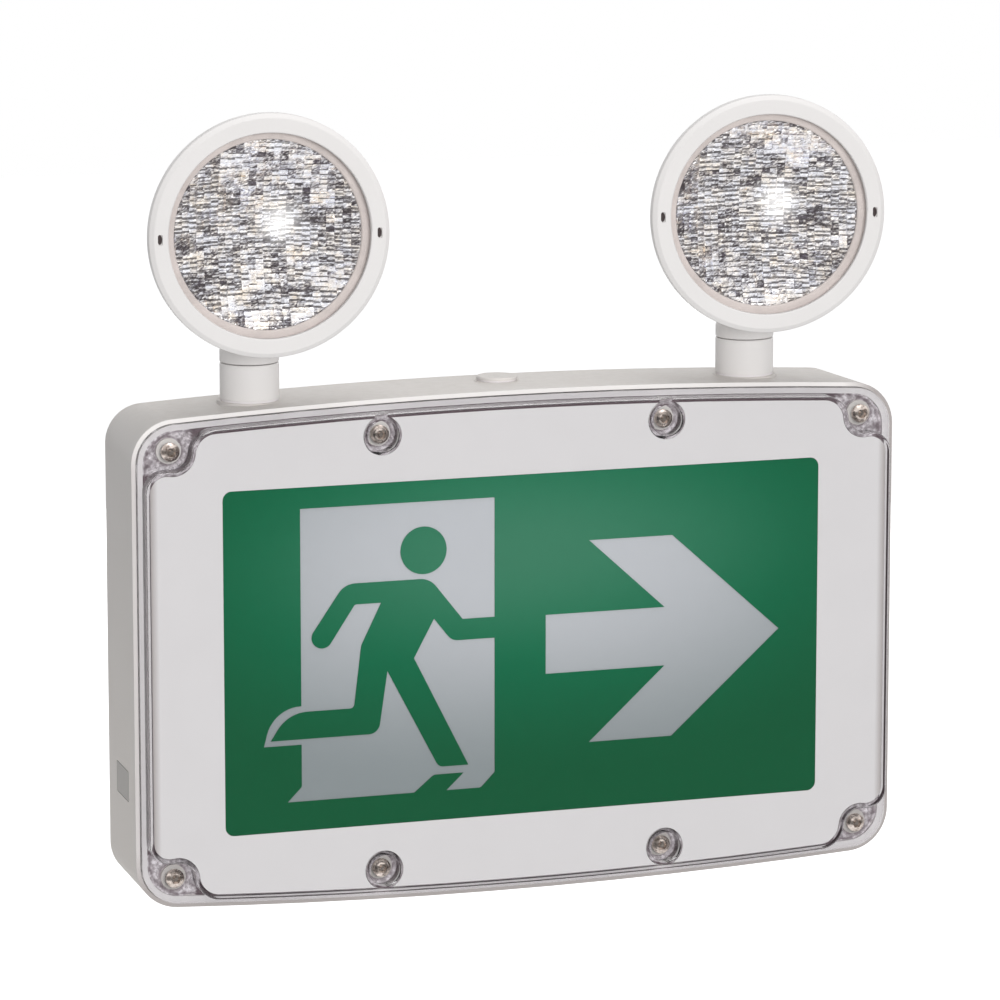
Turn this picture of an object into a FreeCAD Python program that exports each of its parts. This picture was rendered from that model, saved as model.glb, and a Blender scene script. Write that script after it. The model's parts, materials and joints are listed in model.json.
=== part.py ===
import FreeCAD, Part
import math
import os

# Emergency exit light: a sealed wall box with a running-figure legend behind a clear screwed
# cover, and two adjustable lamp heads on short posts.  Millimetres.
# The origin is the centre of the back face, which lies against the wall.  +Z is up and the front
# looks along -Y, so "distance" below always means how far a plane stands out from the wall.

SIZES = [
    # box
    ("box_width", 347.0, "outside width at the rim"),
    ("box_height", 221.5, "outside height at the rim, on the centre line"),
    ("edge_bulge", 2600.0, "radius of the bowed top and bottom edges"),
    ("box_corner", 19.0, "radius of the box corners"),
    ("rim_front", 55.0, "distance of the rim from the wall"),
    ("side_draft", 2.4, "how far each side tapers in at the back"),
    ("top_draft", 1.2, "how far top and bottom taper in at the back"),
    ("back_edge", 2.0, "rounding of the back edge"),
    ("wall", 3.0, "thickness of the back wall"),
    ("lip", 1.8, "width of the rim lip that shows round the cover"),
    ("land", 5.0, "from the outside of the rim to the cavity"),
    ("lip_height", 2.5, "height of the lip over the gasket land"),
    ("cover_play", 0.3, "play between lip and cover"),
    ("gasket_thickness", 1.5, "gasket, squeezed"),
    # cover and what lies behind it
    ("flange_thickness", 3.0, "flange of the clear cover"),
    ("pan_front", 64.0, "distance of the cover's front face from the wall"),
    ("pan_wall", 2.5, "thickness of the cover's front face"),
    ("pan_edge", 1.2, "rounding of the cover's front edge"),
    ("mask_front", 61.2, "distance of the white mask's face from the wall"),
    ("mask_thickness", 2.0, "white mask"),
    ("mask_width", 334.4, "width of the mask"),
    ("mask_height", 207.4, "height of the mask on the centre line"),
    ("notch_radius", 10.0, "hollow in the mask round each corner screw"),
    ("notch_side_blend", 7.0, "rounding from the hollow to the side"),
    ("notch_top_blend", 9.0, "rounding from the hollow to the top or bottom"),
    ("pan_inner_play", 0.2, "play between mask and cover wall"),
    ("pan_side_wall", 2.0, "thickness of the cover's side wall"),
    ("pocket_radius", 7.0, "inside of the cover's middle screw pockets"),
    ("pocket_wall", 1.3, "wall of those pockets"),
    ("legend_width", 271.5, "window in the mask"),
    ("legend_height", 150.0, "window in the mask"),
    ("legend_corner", 4.0, "corner radius of the window"),
    ("legend_play", 0.1, "play between the film and the window"),
    ("film_thickness", 0.4, "green legend film"),
    ("panel_thickness", 2.0, "flange of the opal light panel"),
    ("panel_margin", 6.0, "how far that flange reaches behind the mask"),
    # cover screws
    ("corner_screw_x", 157.2, "corner screws"),
    ("corner_screw_z", 92.6, "corner screws"),
    ("middle_screw_x", 64.6, "middle screws"),
    ("middle_screw_z", 95.3, "middle screws"),
    ("screw_radius", 2.0, "M4 shank"),
    ("screw_play", 0.1, "play round a shank"),
    ("screw_length", 16.0, "shank under the head"),
    ("head_radius", 4.0, "pan head"),
    ("head_height", 2.6, "pan head"),
    ("boss_radius", 5.5, "screw pillars in the box"),
    ("rib_width", 3.0, "ribs from the pillars to the walls"),
    # wall fixing and cable entry
    ("fixing_x", 115.0, "wall screw holes"),
    ("fixing_z", 70.0, "wall screw holes"),
    ("fixing_radius", 2.75, "wall screw holes"),
    ("entry_radius", 11.0, "cable entry in the back wall"),
    # plug in the top conduit entry
    ("plug_distance", 22.5, "axis of the conduit entry"),
    ("plug_radius", 9.0, "head of the plug"),
    ("plug_head", 1.2, "thickness of the plug's head"),
    ("plug_shank", 7.6, "radius of the plug's shank"),
    ("plug_seat", 110.3, "height of the plug's flat seat"),
    # test button on the left side
    ("button_distance", 29.5, "centre of the button"),
    ("button_z", -55.0, "centre of the button"),
    ("button_width", 23.5, "along the depth of the box"),
    ("button_height", 13.0, "button"),
    ("button_play", 0.35, "gap round the button"),
    ("button_travel", 1.5, "how far it presses in"),
    # tray with the edge lights
    ("tray_back", 43.0, "distance of the tray's back from the wall"),
    ("tray_front", 57.0, "distance of the tray's open front"),
    ("tray_width", 286.0, "lamp tray"),
    ("tray_height", 173.0, "lamp tray"),
    ("sheet", 1.0, "sheet steel"),
    ("tray_post_x", 138.0, "tray pillars"),
    ("tray_post_z", 62.0, "tray pillars"),
    ("strip_length", 252.0, "edge light strips"),
    ("strip_width", 9.0, "edge light strips"),
    ("board", 1.6, "circuit boards"),
    ("strip_leds", 12.0, "lights on each strip"),
    # battery
    ("battery_x", 90.0, "middle of the battery"),
    ("battery_length", 150.0, "battery"),
    ("battery_height", 94.0, "battery"),
    ("battery_depth", 34.0, "battery"),
    ("strap_width", 20.0, "battery strap"),
    ("strap_foot", 12.0, "foot of the strap"),
    # charger
    ("charger_x", -88.0, "middle of the charger board"),
    ("charger_width", 104.0, "charger board"),
    ("charger_height", 88.0, "charger board"),
    ("charger_distance", 10.0, "back of the board from the wall"),
    # posts and necks
    ("post_x", 113.7, "axis of each post"),
    ("post_distance", 27.8, "axis of each post from the wall"),
    ("post_radius", 12.8, "posts and necks"),
    ("post_foot", 108.4, "height of the flat seat on the box"),
    ("post_top", 124.7, "top of the post, where the neck turns"),
    ("post_shank", 9.5, "threaded shank through the box"),
    ("post_tail", 93.0, "lower end of the shank"),
    ("seal_thickness", 0.8, "ring under the post"),
    ("swivel_radius", 7.0, "spigot of the neck"),
    ("swivel_play", 0.05, "running fit of the spigot"),
    ("neck_gap", 0.3, "gap between post and neck"),
    ("neck_height", 7.0, "round part of the neck"),
    ("lead_radius", 4.0, "passage for the lamp leads"),
    # tilting joint
    ("pivot_z", 143.0, "height of the tilting axis"),
    ("tongue_radius", 8.0, "eye of the neck"),
    ("tongue_width", 11.0, "thickness of the neck's tongue"),
    ("ear_width", 4.5, "thickness of each ear of the head"),
    ("ear_gap", 0.3, "gap between tongue and ears"),
    ("pivot_radius", 2.5, "tilting screw"),
    # lamp heads
    ("head_z", 184.3, "centre of the lamp heads"),
    ("left_turn", -3.5, "which way the left head looks, in degrees from straight ahead"),
    ("right_turn", -7.5, "which way the right head looks"),
    ("head_front", 44.0, "front of the bezel from the post's axis"),
    ("bezel_radius", 51.7, "outside of the bezel"),
    ("bezel_opening", 43.5, "opening of the bezel"),
    ("bezel_depth", 6.0, "height of the bezel's skirt"),
    ("bezel_skin", 2.0, "wall of the bezel"),
    ("slot_x", 47.1, "latch slots of the bezel"),
    ("slot_width", 2.0, "latch slots"),
    ("slot_height", 4.4, "latch slots"),
    ("lens_radius", 47.0, "lens"),
    ("lens_thickness", 2.4, "lens"),
    ("shell_wall", 2.2, "wall of the lamp shell"),
]

AXIS_Z = FreeCAD.Vector(0, 0, 1)

doc = FreeCAD.newDocument("exit_light")
sheet = doc.addObject("Spreadsheet::Sheet", "Sizes")
for row, (alias, value, note) in enumerate(SIZES, start=1):
    sheet.set("A%d" % row, alias)
    sheet.set("B%d" % row, str(value))
    sheet.set("C%d" % row, note)
    sheet.setAlias("B%d" % row, alias)
doc.recompute()

parts = []


def size(alias):
    """A driving dimension, read from the sheet."""
    return float(sheet.get(alias))


# ---- outlines -------------------------------------------------------------------------------
# Every outline is a list of sketch geometry in a plane with coordinates (across, up).

def at(across, up):
    return FreeCAD.Vector(across, up, 0)


def circle(across, up, radius):
    return Part.Circle(at(across, up), AXIS_Z, radius)


def arc(centre, start, end):
    """The shorter arc about centre between two points."""
    first = math.atan2(start.y - centre.y, start.x - centre.x)
    last = math.atan2(end.y - centre.y, end.x - centre.x)
    sweep = (last - first) % (2 * math.pi)
    if sweep > math.pi:
        first, sweep = last, 2 * math.pi - sweep
    ring = Part.Circle(centre, AXIS_Z, (start - centre).Length)
    return Part.ArcOfCircle(ring, first, first + sweep)


def rounded(corners):
    """Closed outline of straight lines through corners (across, up, rounding radius)."""
    geometry = []
    arrivals = []
    departures = []
    for index, (across, up, radius) in enumerate(corners):
        here = at(across, up)
        back = (at(*corners[index - 1][:2]) - here).normalize()
        ahead = (at(*corners[(index + 1) % len(corners)][:2]) - here).normalize()
        half_angle = back.getAngle(ahead) / 2
        reach = radius / math.tan(half_angle)
        arrivals.append(here + back * reach)
        departures.append(here + ahead * reach)
        if radius:
            centre = here + (back + ahead).normalize() * (radius / math.sin(half_angle))
            geometry.append(arc(centre, arrivals[-1], departures[-1]))
    for index, arrival in enumerate(arrivals):
        geometry.append(Part.LineSegment(departures[index - 1], arrival))
    return geometry


def rectangle(left, right, low, high, radius=0.0):
    return rounded([(left, low, radius), (right, low, radius), (right, high, radius), (left, high, radius)])


def bowed_frame(corner_arcs, half_height):
    """Upright sides and bowed edges joined by the arcs of one corner, mirrored to all four.

    corner_arcs run from the side to the top edge, each as (centre, start, end).
    """
    side = corner_arcs[0][1]
    top = corner_arcs[-1][2]
    geometry = []
    for across in (1, -1):
        geometry.append(Part.LineSegment(at(across * side.x, -side.y), at(across * side.x, side.y)))
        for up in (1, -1):
            for points in corner_arcs:
                geometry.append(arc(*[at(across * point.x, up * point.y) for point in points]))
    crown = half_height - size("edge_bulge")
    for up in (1, -1):
        centre = at(0, up * crown)
        geometry.append(arc(centre, at(-top.x, up * top.y), at(top.x, up * top.y)))
    return geometry


def box_outline(inset_side, inset_top=None):
    """Outline of the box at the rim, moved in by the insets."""
    inset_top = inset_side if inset_top is None else inset_top
    half_width = size("box_width") / 2 - inset_side
    half_height = size("box_height") / 2 - inset_top
    bulge = size("edge_bulge")
    corner = size("box_corner") - inset_side
    crown = at(0, half_height - bulge)
    reach = half_width - corner
    centre = at(reach, crown.y + math.sqrt((bulge - corner) ** 2 - reach ** 2))
    side = at(half_width, centre.y)
    top = crown + (centre - crown).normalize() * bulge
    return bowed_frame([(centre, side, top)], half_height)


def mask_outline(grow):
    """Outline of the white mask, hollowed round the corner screws and moved out by grow."""
    half_width = size("mask_width") / 2 + grow
    half_height = size("mask_height") / 2 + grow
    notch = size("notch_radius") - grow
    side_blend = size("notch_side_blend") + grow
    top_blend = size("notch_top_blend") + grow
    bulge = size("edge_bulge")
    screw = at(size("corner_screw_x"), size("corner_screw_z"))
    crown = at(0, half_height - bulge)

    low_x = half_width - side_blend
    low_centre = at(low_x, screw.y - math.sqrt((notch + side_blend) ** 2 - (low_x - screw.x) ** 2))
    low_touch = screw + (low_centre - screw).normalize() * notch

    # the upper blend touches the bowed edge from inside and the hollow from outside
    span = (screw - crown).Length
    from_crown = bulge - top_blend
    from_screw = notch + top_blend
    along = (from_crown ** 2 - from_screw ** 2 + span ** 2) / (2 * span)
    offset = math.sqrt(from_crown ** 2 - along ** 2)
    towards = (screw - crown).normalize()
    high_centre = crown + towards * along + at(-towards.y, towards.x) * offset
    high_touch = screw + (high_centre - screw).normalize() * notch
    top = crown + (high_centre - crown).normalize() * bulge

    corner_arcs = [
        (low_centre, at(half_width, low_centre.y), low_touch),
        (screw, low_touch, high_touch),
        (high_centre, high_touch, top),
    ]
    return bowed_frame(corner_arcs, half_height)


def window_outline(inset):
    half_width = size("legend_width") / 2 - inset
    half_height = size("legend_height") / 2 - inset
    radius = size("legend_corner") - min(inset, 0.3)
    return rectangle(-half_width, half_width, -half_height, half_height, radius)


def signed(name_x, name_z):
    """The four mirror positions of a pair of sheet values."""
    return [(across * size(name_x), up * size(name_z)) for up in (1, -1) for across in (-1, 1)]


CORNER_SCREWS = signed("corner_screw_x", "corner_screw_z")
MIDDLE_SCREWS = signed("middle_screw_x", "middle_screw_z")


# ---- features -------------------------------------------------------------------------------

def new_body(label):
    body = doc.addObject("PartDesign::Body", label)
    body.Label = label
    parts.append(body)
    return body


def sketch_in(body, label, geometry, start="0", plane="XZ_Plane"):
    """A sketch on one of the body's own planes, set off along the plane's normal."""
    sketch = body.newObject("Sketcher::SketchObject", label)
    origin = [feature for feature in body.Origin.OriginFeatures if feature.Role == plane]
    sketch.AttachmentSupport = [(origin[0], "")]
    sketch.MapMode = "FlatFace"
    sketch.setExpression("AttachmentOffset.Base.z", start)
    for item in geometry:
        sketch.addGeometry(item, False)
    return sketch


def pad(body, label, geometry, start, length, plane="XZ_Plane", reverse=False):
    feature_sketch = sketch_in(body, label + "_sketch", geometry, start, plane)
    feature = body.newObject("PartDesign::Pad", label)
    feature.Profile = feature_sketch
    feature.setExpression("Length", length)
    feature.Reversed = reverse
    doc.recompute()
    return feature


def pocket(body, label, geometry, start, length, plane="XZ_Plane", reverse=False):
    """Cut from the sketch towards the side that its plane's normal comes from."""
    before = body.Shape.Volume
    feature_sketch = sketch_in(body, label + "_sketch", geometry, start, plane)
    feature = body.newObject("PartDesign::Pocket", label)
    feature.Profile = feature_sketch
    feature.setExpression("Length", length)
    feature.Reversed = reverse
    doc.recompute()
    if body.Shape.Volume > before - 1e-3:
        raise RuntimeError("%s of %s cuts nothing" % (label, body.Label))
    return feature


def revolve(body, label, geometry, plane, axis, cut=False):
    """Turn a profile about its sketch's own axis: H_Axis runs across, V_Axis up."""
    profile = sketch_in(body, label + "_sketch", geometry, plane=plane)
    feature = body.newObject("PartDesign::Groove" if cut else "PartDesign::Revolution", label)
    feature.Profile = profile
    feature.ReferenceAxis = (profile, [axis])
    feature.Angle = 360.0
    doc.recompute()
    return feature


def round_edges(body, label, radius, chosen):
    """Round the edges of the body that the test picks."""
    base = body.Tip
    names = ["Edge%d" % (index + 1) for index, edge in enumerate(base.Shape.Edges) if chosen(edge)]
    feature = body.newObject("PartDesign::Fillet", label)
    feature.Base = (base, names)
    feature.setExpression("Radius", radius)
    doc.recompute()
    return feature


def in_plane(distance):
    """Picks edges that lie wholly at one distance from the wall."""
    return lambda edge: abs(edge.BoundBox.YMin + distance) < 1e-4 and edge.BoundBox.YLength < 1e-3


def group(label, shapes):
    """A node of separate like solids."""
    feature = doc.addObject("Part::Feature", label)
    feature.Label = label
    feature.Shape = Part.makeCompound(shapes)
    feature.Placement = FreeCAD.Placement()
    parts.append(feature)
    return feature


def block(label, left, low, start, width, height, depth):
    """A Part::Box given by expressions, start being its distance from the wall."""
    box = doc.addObject("Part::Box", label)
    box.Label = label
    box.setExpression("Length", width)
    box.setExpression("Height", height)
    box.setExpression("Width", depth)
    box.setExpression("Placement.Base.x", left)
    box.setExpression("Placement.Base.y", "-(%s) - (%s)" % (start, depth))
    box.setExpression("Placement.Base.z", low)
    return box


def screw(length, radius, head_radius, head_height):
    """A pan-head security screw along +Y from its seat at the origin, with its head towards -Y."""
    crown = head_height * 0.55
    profile = [
        FreeCAD.Vector(0, length, 0),
        FreeCAD.Vector(radius, length, 0),
        FreeCAD.Vector(radius, 0, 0),
        FreeCAD.Vector(head_radius, 0, 0),
        FreeCAD.Vector(head_radius, crown - head_height, 0),
    ]
    edges = [Part.makeLine(a, b) for a, b in zip(profile, profile[1:])]
    dome = FreeCAD.Vector(head_radius * 0.6, -head_height * 0.92, 0)
    top = FreeCAD.Vector(0, -head_height, 0)
    edges.append(Part.Arc(profile[-1], dome, top).toShape())
    edges.append(Part.makeLine(top, profile[0]))
    solid = Part.Face(Part.Wire(edges)).revolve(FreeCAD.Vector(), FreeCAD.Vector(0, 1, 0), 360)
    recess = Part.Wire(Part.makePolygon([
        FreeCAD.Vector(head_radius * 0.55 * math.cos(math.radians(60 * side)), -head_height - 1,
                       head_radius * 0.55 * math.sin(math.radians(60 * side)))
        for side in range(7)]).Edges)
    socket = Part.Face(recess).extrude(FreeCAD.Vector(0, 1 + head_height * 0.65, 0))
    pin = Part.makeCylinder(head_radius * 0.2, head_height * 1.5, FreeCAD.Vector(0, -head_height * 0.85, 0),
                            FreeCAD.Vector(0, 1, 0))
    return solid.cut(socket.cut(pin))


def moved(shape, across, distance, up):
    copy = shape.copy()
    copy.translate(FreeCAD.Vector(across, -distance, up))
    return copy


# ---- the box --------------------------------------------------------------------------------

def make_back_box():
    body = new_body("back_box")
    back = sketch_in(body, "back_outline", box_outline(size("side_draft"), size("top_draft")))
    rim = sketch_in(body, "rim_outline", box_outline(0), "Sizes.rim_front")
    loft = body.newObject("PartDesign::AdditiveLoft", "outside")
    loft.Profile = back
    loft.Sections = [rim]
    doc.recompute()
    round_edges(body, "back_rounding", "Sizes.back_edge", in_plane(0))

    pocket(body, "lip_recess", box_outline(size("lip")), "Sizes.rim_front", "Sizes.lip_height")
    land = "Sizes.rim_front - Sizes.lip_height"
    pocket(body, "cavity", box_outline(size("land")), land, land + " - Sizes.wall")

    make_pillars(body)
    make_top_seats(body)
    make_wall_openings(body)
    make_button_hole(body)
    return body


def make_pillars(body):
    """Screw pillars for cover, tray and charger, ribbed to the walls, with pilot holes."""
    cover_seat = "Sizes.rim_front - Sizes.lip_height + Sizes.gasket_thickness"
    screws = CORNER_SCREWS + MIDDLE_SCREWS
    half_rib = size("rib_width") / 2
    wall_x = size("box_width") / 2 - size("land") + 0.5
    wall_z = size("box_height") / 2 - size("land") + 0.5
    for number, (across, up) in enumerate(screws):
        pad(body, "pillar_%d" % number, [circle(across, up, size("boss_radius"))], "Sizes.wall",
            cover_seat + " - Sizes.wall")
        reach = math.copysign(wall_z - (across ** 2) / (2 * size("edge_bulge")), up)
        ribs = [(across - half_rib, across + half_rib, min(up, reach), max(up, reach))]
        if (across, up) in CORNER_SCREWS:
            edge = math.copysign(wall_x, across)
            ribs.append((min(across, edge), max(across, edge), up - half_rib, up + half_rib))
        for side, span in enumerate(ribs):
            pad(body, "rib_%d_%d" % (number, side), rectangle(*span), "Sizes.wall", "Sizes.tray_back")
        pocket(body, "pilot_%d" % number, [circle(across, up, size("screw_radius") + size("screw_play"))],
               cover_seat, "Sizes.screw_length")

    for number, (across, up) in enumerate(signed("tray_post_x", "tray_post_z")):
        pad(body, "tray_pillar_%d" % number, [circle(across, up, 4.0)], "Sizes.wall",
            "Sizes.tray_back - Sizes.wall")
        pocket(body, "tray_pilot_%d" % number, [circle(across, up, 1.6)], "Sizes.tray_back", "8")
    for number, (across, up) in enumerate(board_holes()):
        pad(body, "board_pillar_%d" % number, [circle(across, up, 3.5)], "Sizes.wall",
            "Sizes.charger_distance - Sizes.wall")
        pocket(body, "board_pilot_%d" % number, [circle(across, up, 1.35)], "Sizes.charger_distance", "5")


def board_holes():
    half_width = size("charger_width") / 2 - 5
    half_height = size("charger_height") / 2 - 5
    return [(size("charger_x") + across * half_width, up * half_height)
            for up in (1, -1) for across in (-1, 1)]


def make_top_seats(body):
    """Flat round seats on the top for the posts and the conduit plug, with their holes."""
    top_inside = "Sizes.box_height / 2 - Sizes.land - 3.5"
    for number, across in enumerate((-size("post_x"), size("post_x"))):
        spot = [circle(across, -size("post_distance"), size("post_radius") + 1.4)]
        pad(body, "post_seat_%d" % number, spot, top_inside, "Sizes.post_foot - (%s)" % top_inside,
            plane="XY_Plane")
        hole = [circle(across, -size("post_distance"), size("post_shank") + size("cover_play"))]
        pocket(body, "post_hole_%d" % number, hole, "Sizes.post_foot", "20", plane="XY_Plane")
    spot = [circle(0, -size("plug_distance"), size("plug_radius") + 1.0)]
    pad(body, "plug_seat", spot, top_inside, "Sizes.plug_seat - (%s)" % top_inside, plane="XY_Plane")
    hole = [circle(0, -size("plug_distance"), size("plug_shank") + size("screw_play"))]
    pocket(body, "conduit_entry", hole, "Sizes.plug_seat", "15", plane="XY_Plane")


def make_wall_openings(body):
    """Fixing holes and the cable entry through the back wall, and the strap's screw holes."""
    for number, (across, up) in enumerate(signed("fixing_x", "fixing_z")):
        pocket(body, "fixing_hole_%d" % number, [circle(across, up, size("fixing_radius"))],
               "Sizes.wall", "Sizes.wall")
    pocket(body, "cable_entry", [circle(0, 0, size("entry_radius"))], "Sizes.wall", "Sizes.wall")
    for number, up in enumerate(strap_screw_heights()):
        pad(body, "strap_pillar_%d" % number, [circle(size("battery_x"), up, 4.5)], "Sizes.wall", "8")
        pocket(body, "strap_pilot_%d" % number, [circle(size("battery_x"), up, 1.6)], "Sizes.wall + 8", "8")


def make_button_hole(body):
    """Window for the test button in the left wall and the bracket of its switch."""
    half_width = size("button_width") / 2 + size("button_play")
    half_height = size("button_height") / 2 + size("button_play")
    middle = -size("button_distance")
    window = rectangle(middle - half_width, middle + half_width, size("button_z") - half_height,
                       size("button_z") + half_height, 1.5)
    pocket(body, "button_window", window, "-Sizes.box_width / 2 + 12", "13", plane="YZ_Plane")
    bracket = rectangle(-size("box_width") / 2 + 12, -size("box_width") / 2 + 24,
                        size("button_z") - 6.5, size("button_z") + 6.5)
    pad(body, "switch_bracket", bracket, "Sizes.wall", "Sizes.button_distance - 10 - Sizes.wall")


# ---- cover, mask and legend -----------------------------------------------------------------

GASKET_BACK = "Sizes.rim_front - Sizes.lip_height"
FLANGE_BACK = "Sizes.rim_front - Sizes.lip_height + Sizes.gasket_thickness"
FLANGE_FRONT = FLANGE_BACK + " + Sizes.flange_thickness"
SCREW_SEAT = size("rim_front") - size("lip_height") + size("gasket_thickness") + size("flange_thickness")


def make_gasket():
    body = new_body("cover_gasket")
    outer = box_outline(size("lip") + size("cover_play"))
    inner = box_outline(size("land") - size("screw_play"))
    pad(body, "ring", outer + inner, GASKET_BACK, "Sizes.gasket_thickness")


def make_clear_cover():
    body = new_body("clear_cover")
    wall = size("pan_inner_play") + size("pan_side_wall")
    pad(body, "flange", box_outline(size("lip") + size("cover_play")), FLANGE_BACK, "Sizes.flange_thickness")
    pad(body, "pan", mask_outline(wall), FLANGE_BACK, "Sizes.pan_front - (%s)" % FLANGE_BACK)
    round_edges(body, "pan_rounding", "Sizes.pan_edge", in_plane(size("pan_front")))
    hollow = mask_outline(size("pan_inner_play"))
    pocket(body, "pan_hollow", hollow, FLANGE_BACK,
           "Sizes.pan_front - Sizes.pan_wall - (%s)" % FLANGE_BACK, reverse=True)
    for number, (across, up) in enumerate(MIDDLE_SCREWS):
        outside = [circle(across, up, size("pocket_radius") + size("pocket_wall"))]
        pad(body, "pocket_wall_%d" % number, outside, FLANGE_BACK,
            "Sizes.pan_front - (%s) - 0.2" % FLANGE_BACK)
        pocket(body, "screw_pocket_%d" % number, [circle(across, up, size("pocket_radius"))],
               "Sizes.pan_front", "Sizes.pan_front - (%s)" % FLANGE_FRONT)
    for number, (across, up) in enumerate(CORNER_SCREWS + MIDDLE_SCREWS):
        pocket(body, "screw_hole_%d" % number, [circle(across, up, size("screw_radius") + 0.25)],
               FLANGE_FRONT, "Sizes.flange_thickness")


def make_cover_screws():
    one = screw(size("screw_length") - 1, size("screw_radius"), size("head_radius"), size("head_height"))
    group("cover_screws", [moved(one, across, SCREW_SEAT, up) for across, up in CORNER_SCREWS + MIDDLE_SCREWS])


def make_face_mask():
    body = new_body("face_mask")
    back = "Sizes.mask_front - Sizes.mask_thickness"
    pad(body, "plate", mask_outline(0), back, "Sizes.mask_thickness")
    pocket(body, "window", window_outline(0), "Sizes.mask_front", "Sizes.mask_thickness")
    notch = size("pocket_radius") + size("pocket_wall") + 0.3
    for number, (across, up) in enumerate(MIDDLE_SCREWS):
        # the hollow runs out through the bowed edge
        pocket(body, "screw_notch_%d" % number, [circle(across, up, notch)], "Sizes.mask_front",
               "Sizes.mask_thickness")


DOOR_LEFT, DOOR_RIGHT, DOOR_TOP, DOOR_FLOOR = -101.6, -14.2, 65.7, -62.1

# The light field of the pictogram: a doorway with the running figure standing in it, joined to
# the green at its leading hand.  Clockwise from the door's upper left corner.
DOORWAY = [
    (DOOR_LEFT, DOOR_TOP, 0),
    (DOOR_RIGHT, DOOR_TOP, 0),
    (DOOR_RIGHT, 13.2, 0),          # leading arm, upper edge
    (-28.8, 13.2, 0),
    (-43.6, 31.9, 9.0),             # leading shoulder
    (-81.9, 31.9, 9.2),             # trailing shoulder
    (-98.6, 7.9, 4.6),              # trailing hand
    (-90.8, 2.6, 4.6),
    (-77.4, 22.7, 1.5),
    (-65.6, 22.7, 0),               # trailing armpit
    (-74.6, 4.6, 6.0),              # back
    (-78.0, -22.8, 2.0),            # back of the knee
    (-107.5, -22.8, 16.0),          # heel
    (-115.2, -34.7, 0),             # toe
    (-67.0, -34.7, 5.0),            # knee
    (-62.9, -7.4, 0),               # fork of the legs
    (-39.8, -51.4, 3.5),            # leading foot
    (-26.3, -51.4, 0),
    (-50.9, -2.6, 0),               # hip
    (-41.8, 14.2, 0),               # leading armpit
    (-33.7, 4.0, 5.5),              # leading arm, lower edge
    (DOOR_RIGHT, 4.0, 0),
    (DOOR_RIGHT, -55.6, 1.5),
    (-20.6, DOOR_FLOOR, 1.5),
    (-36.4, DOOR_FLOOR, 0),         # shadow under the leading foot
    (-28.6, -54.8, 0),
    (-42.0, -54.8, 3.0),
    (-50.9, DOOR_FLOOR, 0),
    (-108.0, DOOR_FLOOR, 0),        # foot of the open door
    (DOOR_LEFT, -55.6, 1.5),
    (DOOR_LEFT, -37.1, 0),
    (-118.4, -37.1, 0),             # light line round the trailing foot
    (-114.0, -20.2, 15.5),
    (DOOR_LEFT, -20.2, 0),
]

HEAD_CENTRE, HEAD_RADIUS = (-46.4, 44.4), 10.4

ARROW_MIDDLE, ARROW_SHAFT, ARROW_SPREAD = -0.6, 13.1, 44.9
ARROW = [
    (117.7, 0, 0),
    (67.5, ARROW_SPREAD, 0),
    (29.0, ARROW_SPREAD, 0),
    (64.0, ARROW_SHAFT, 0),
    (9.1, ARROW_SHAFT, 0),
]


def arrow_outline():
    upper = [(x, ARROW_MIDDLE + z, radius) for x, z, radius in ARROW]
    lower = [(x, ARROW_MIDDLE - z, radius) for x, z, radius in reversed(ARROW[1:])]
    return rounded(upper + lower)


def make_legend():
    """Green film with the light shapes left open, and the figure's head as an island."""
    film_back = "Sizes.mask_front - Sizes.film_thickness"
    field = new_body("legend_film")
    field.AllowCompound = True
    pad(field, "field", window_outline(size("legend_play")), film_back, "Sizes.film_thickness")
    pocket(field, "doorway", rounded(DOORWAY), "Sizes.mask_front", "Sizes.film_thickness")
    pocket(field, "arrow", arrow_outline(), "Sizes.mask_front", "Sizes.film_thickness")
    pad(field, "head", [circle(*HEAD_CENTRE, HEAD_RADIUS)], film_back, "Sizes.film_thickness")


def make_light_panel():
    body = new_body("light_panel")
    mask_back = "Sizes.mask_front - Sizes.mask_thickness"
    panel_back = mask_back + " - Sizes.panel_thickness"
    pad(body, "flange", window_outline(-size("panel_margin")), panel_back, "Sizes.panel_thickness")
    pad(body, "raised_field", window_outline(3 * size("legend_play")), panel_back,
        "Sizes.mask_front - Sizes.film_thickness - (%s)" % panel_back)


# ---- lamp tray ------------------------------------------------------------------------------

def make_tray():
    body = new_body("reflector_tray")
    half_width = size("tray_width") / 2
    half_height = size("tray_height") / 2
    pad(body, "blank", rectangle(-half_width, half_width, -half_height, half_height, 4.0),
        "Sizes.tray_back", "Sizes.tray_front - Sizes.tray_back")
    sheet_metal = size("sheet")
    inside = rectangle(sheet_metal - half_width, half_width - sheet_metal, sheet_metal - half_height,
                       half_height - sheet_metal, 3.0)
    pocket(body, "hollow", inside, "Sizes.tray_front", "Sizes.tray_front - Sizes.tray_back - Sizes.sheet")
    for number, (across, up) in enumerate(signed("tray_post_x", "tray_post_z")):
        pocket(body, "hole_%d" % number, [circle(across, up, 1.8)], "Sizes.tray_back + Sizes.sheet",
               "Sizes.sheet")
    one = screw(7.0, 1.5, 2.9, 2.0)
    seat = size("tray_back") + sheet_metal
    group("tray_screws", [moved(one, across, seat, up) for across, up in signed("tray_post_x", "tray_post_z")])


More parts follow.
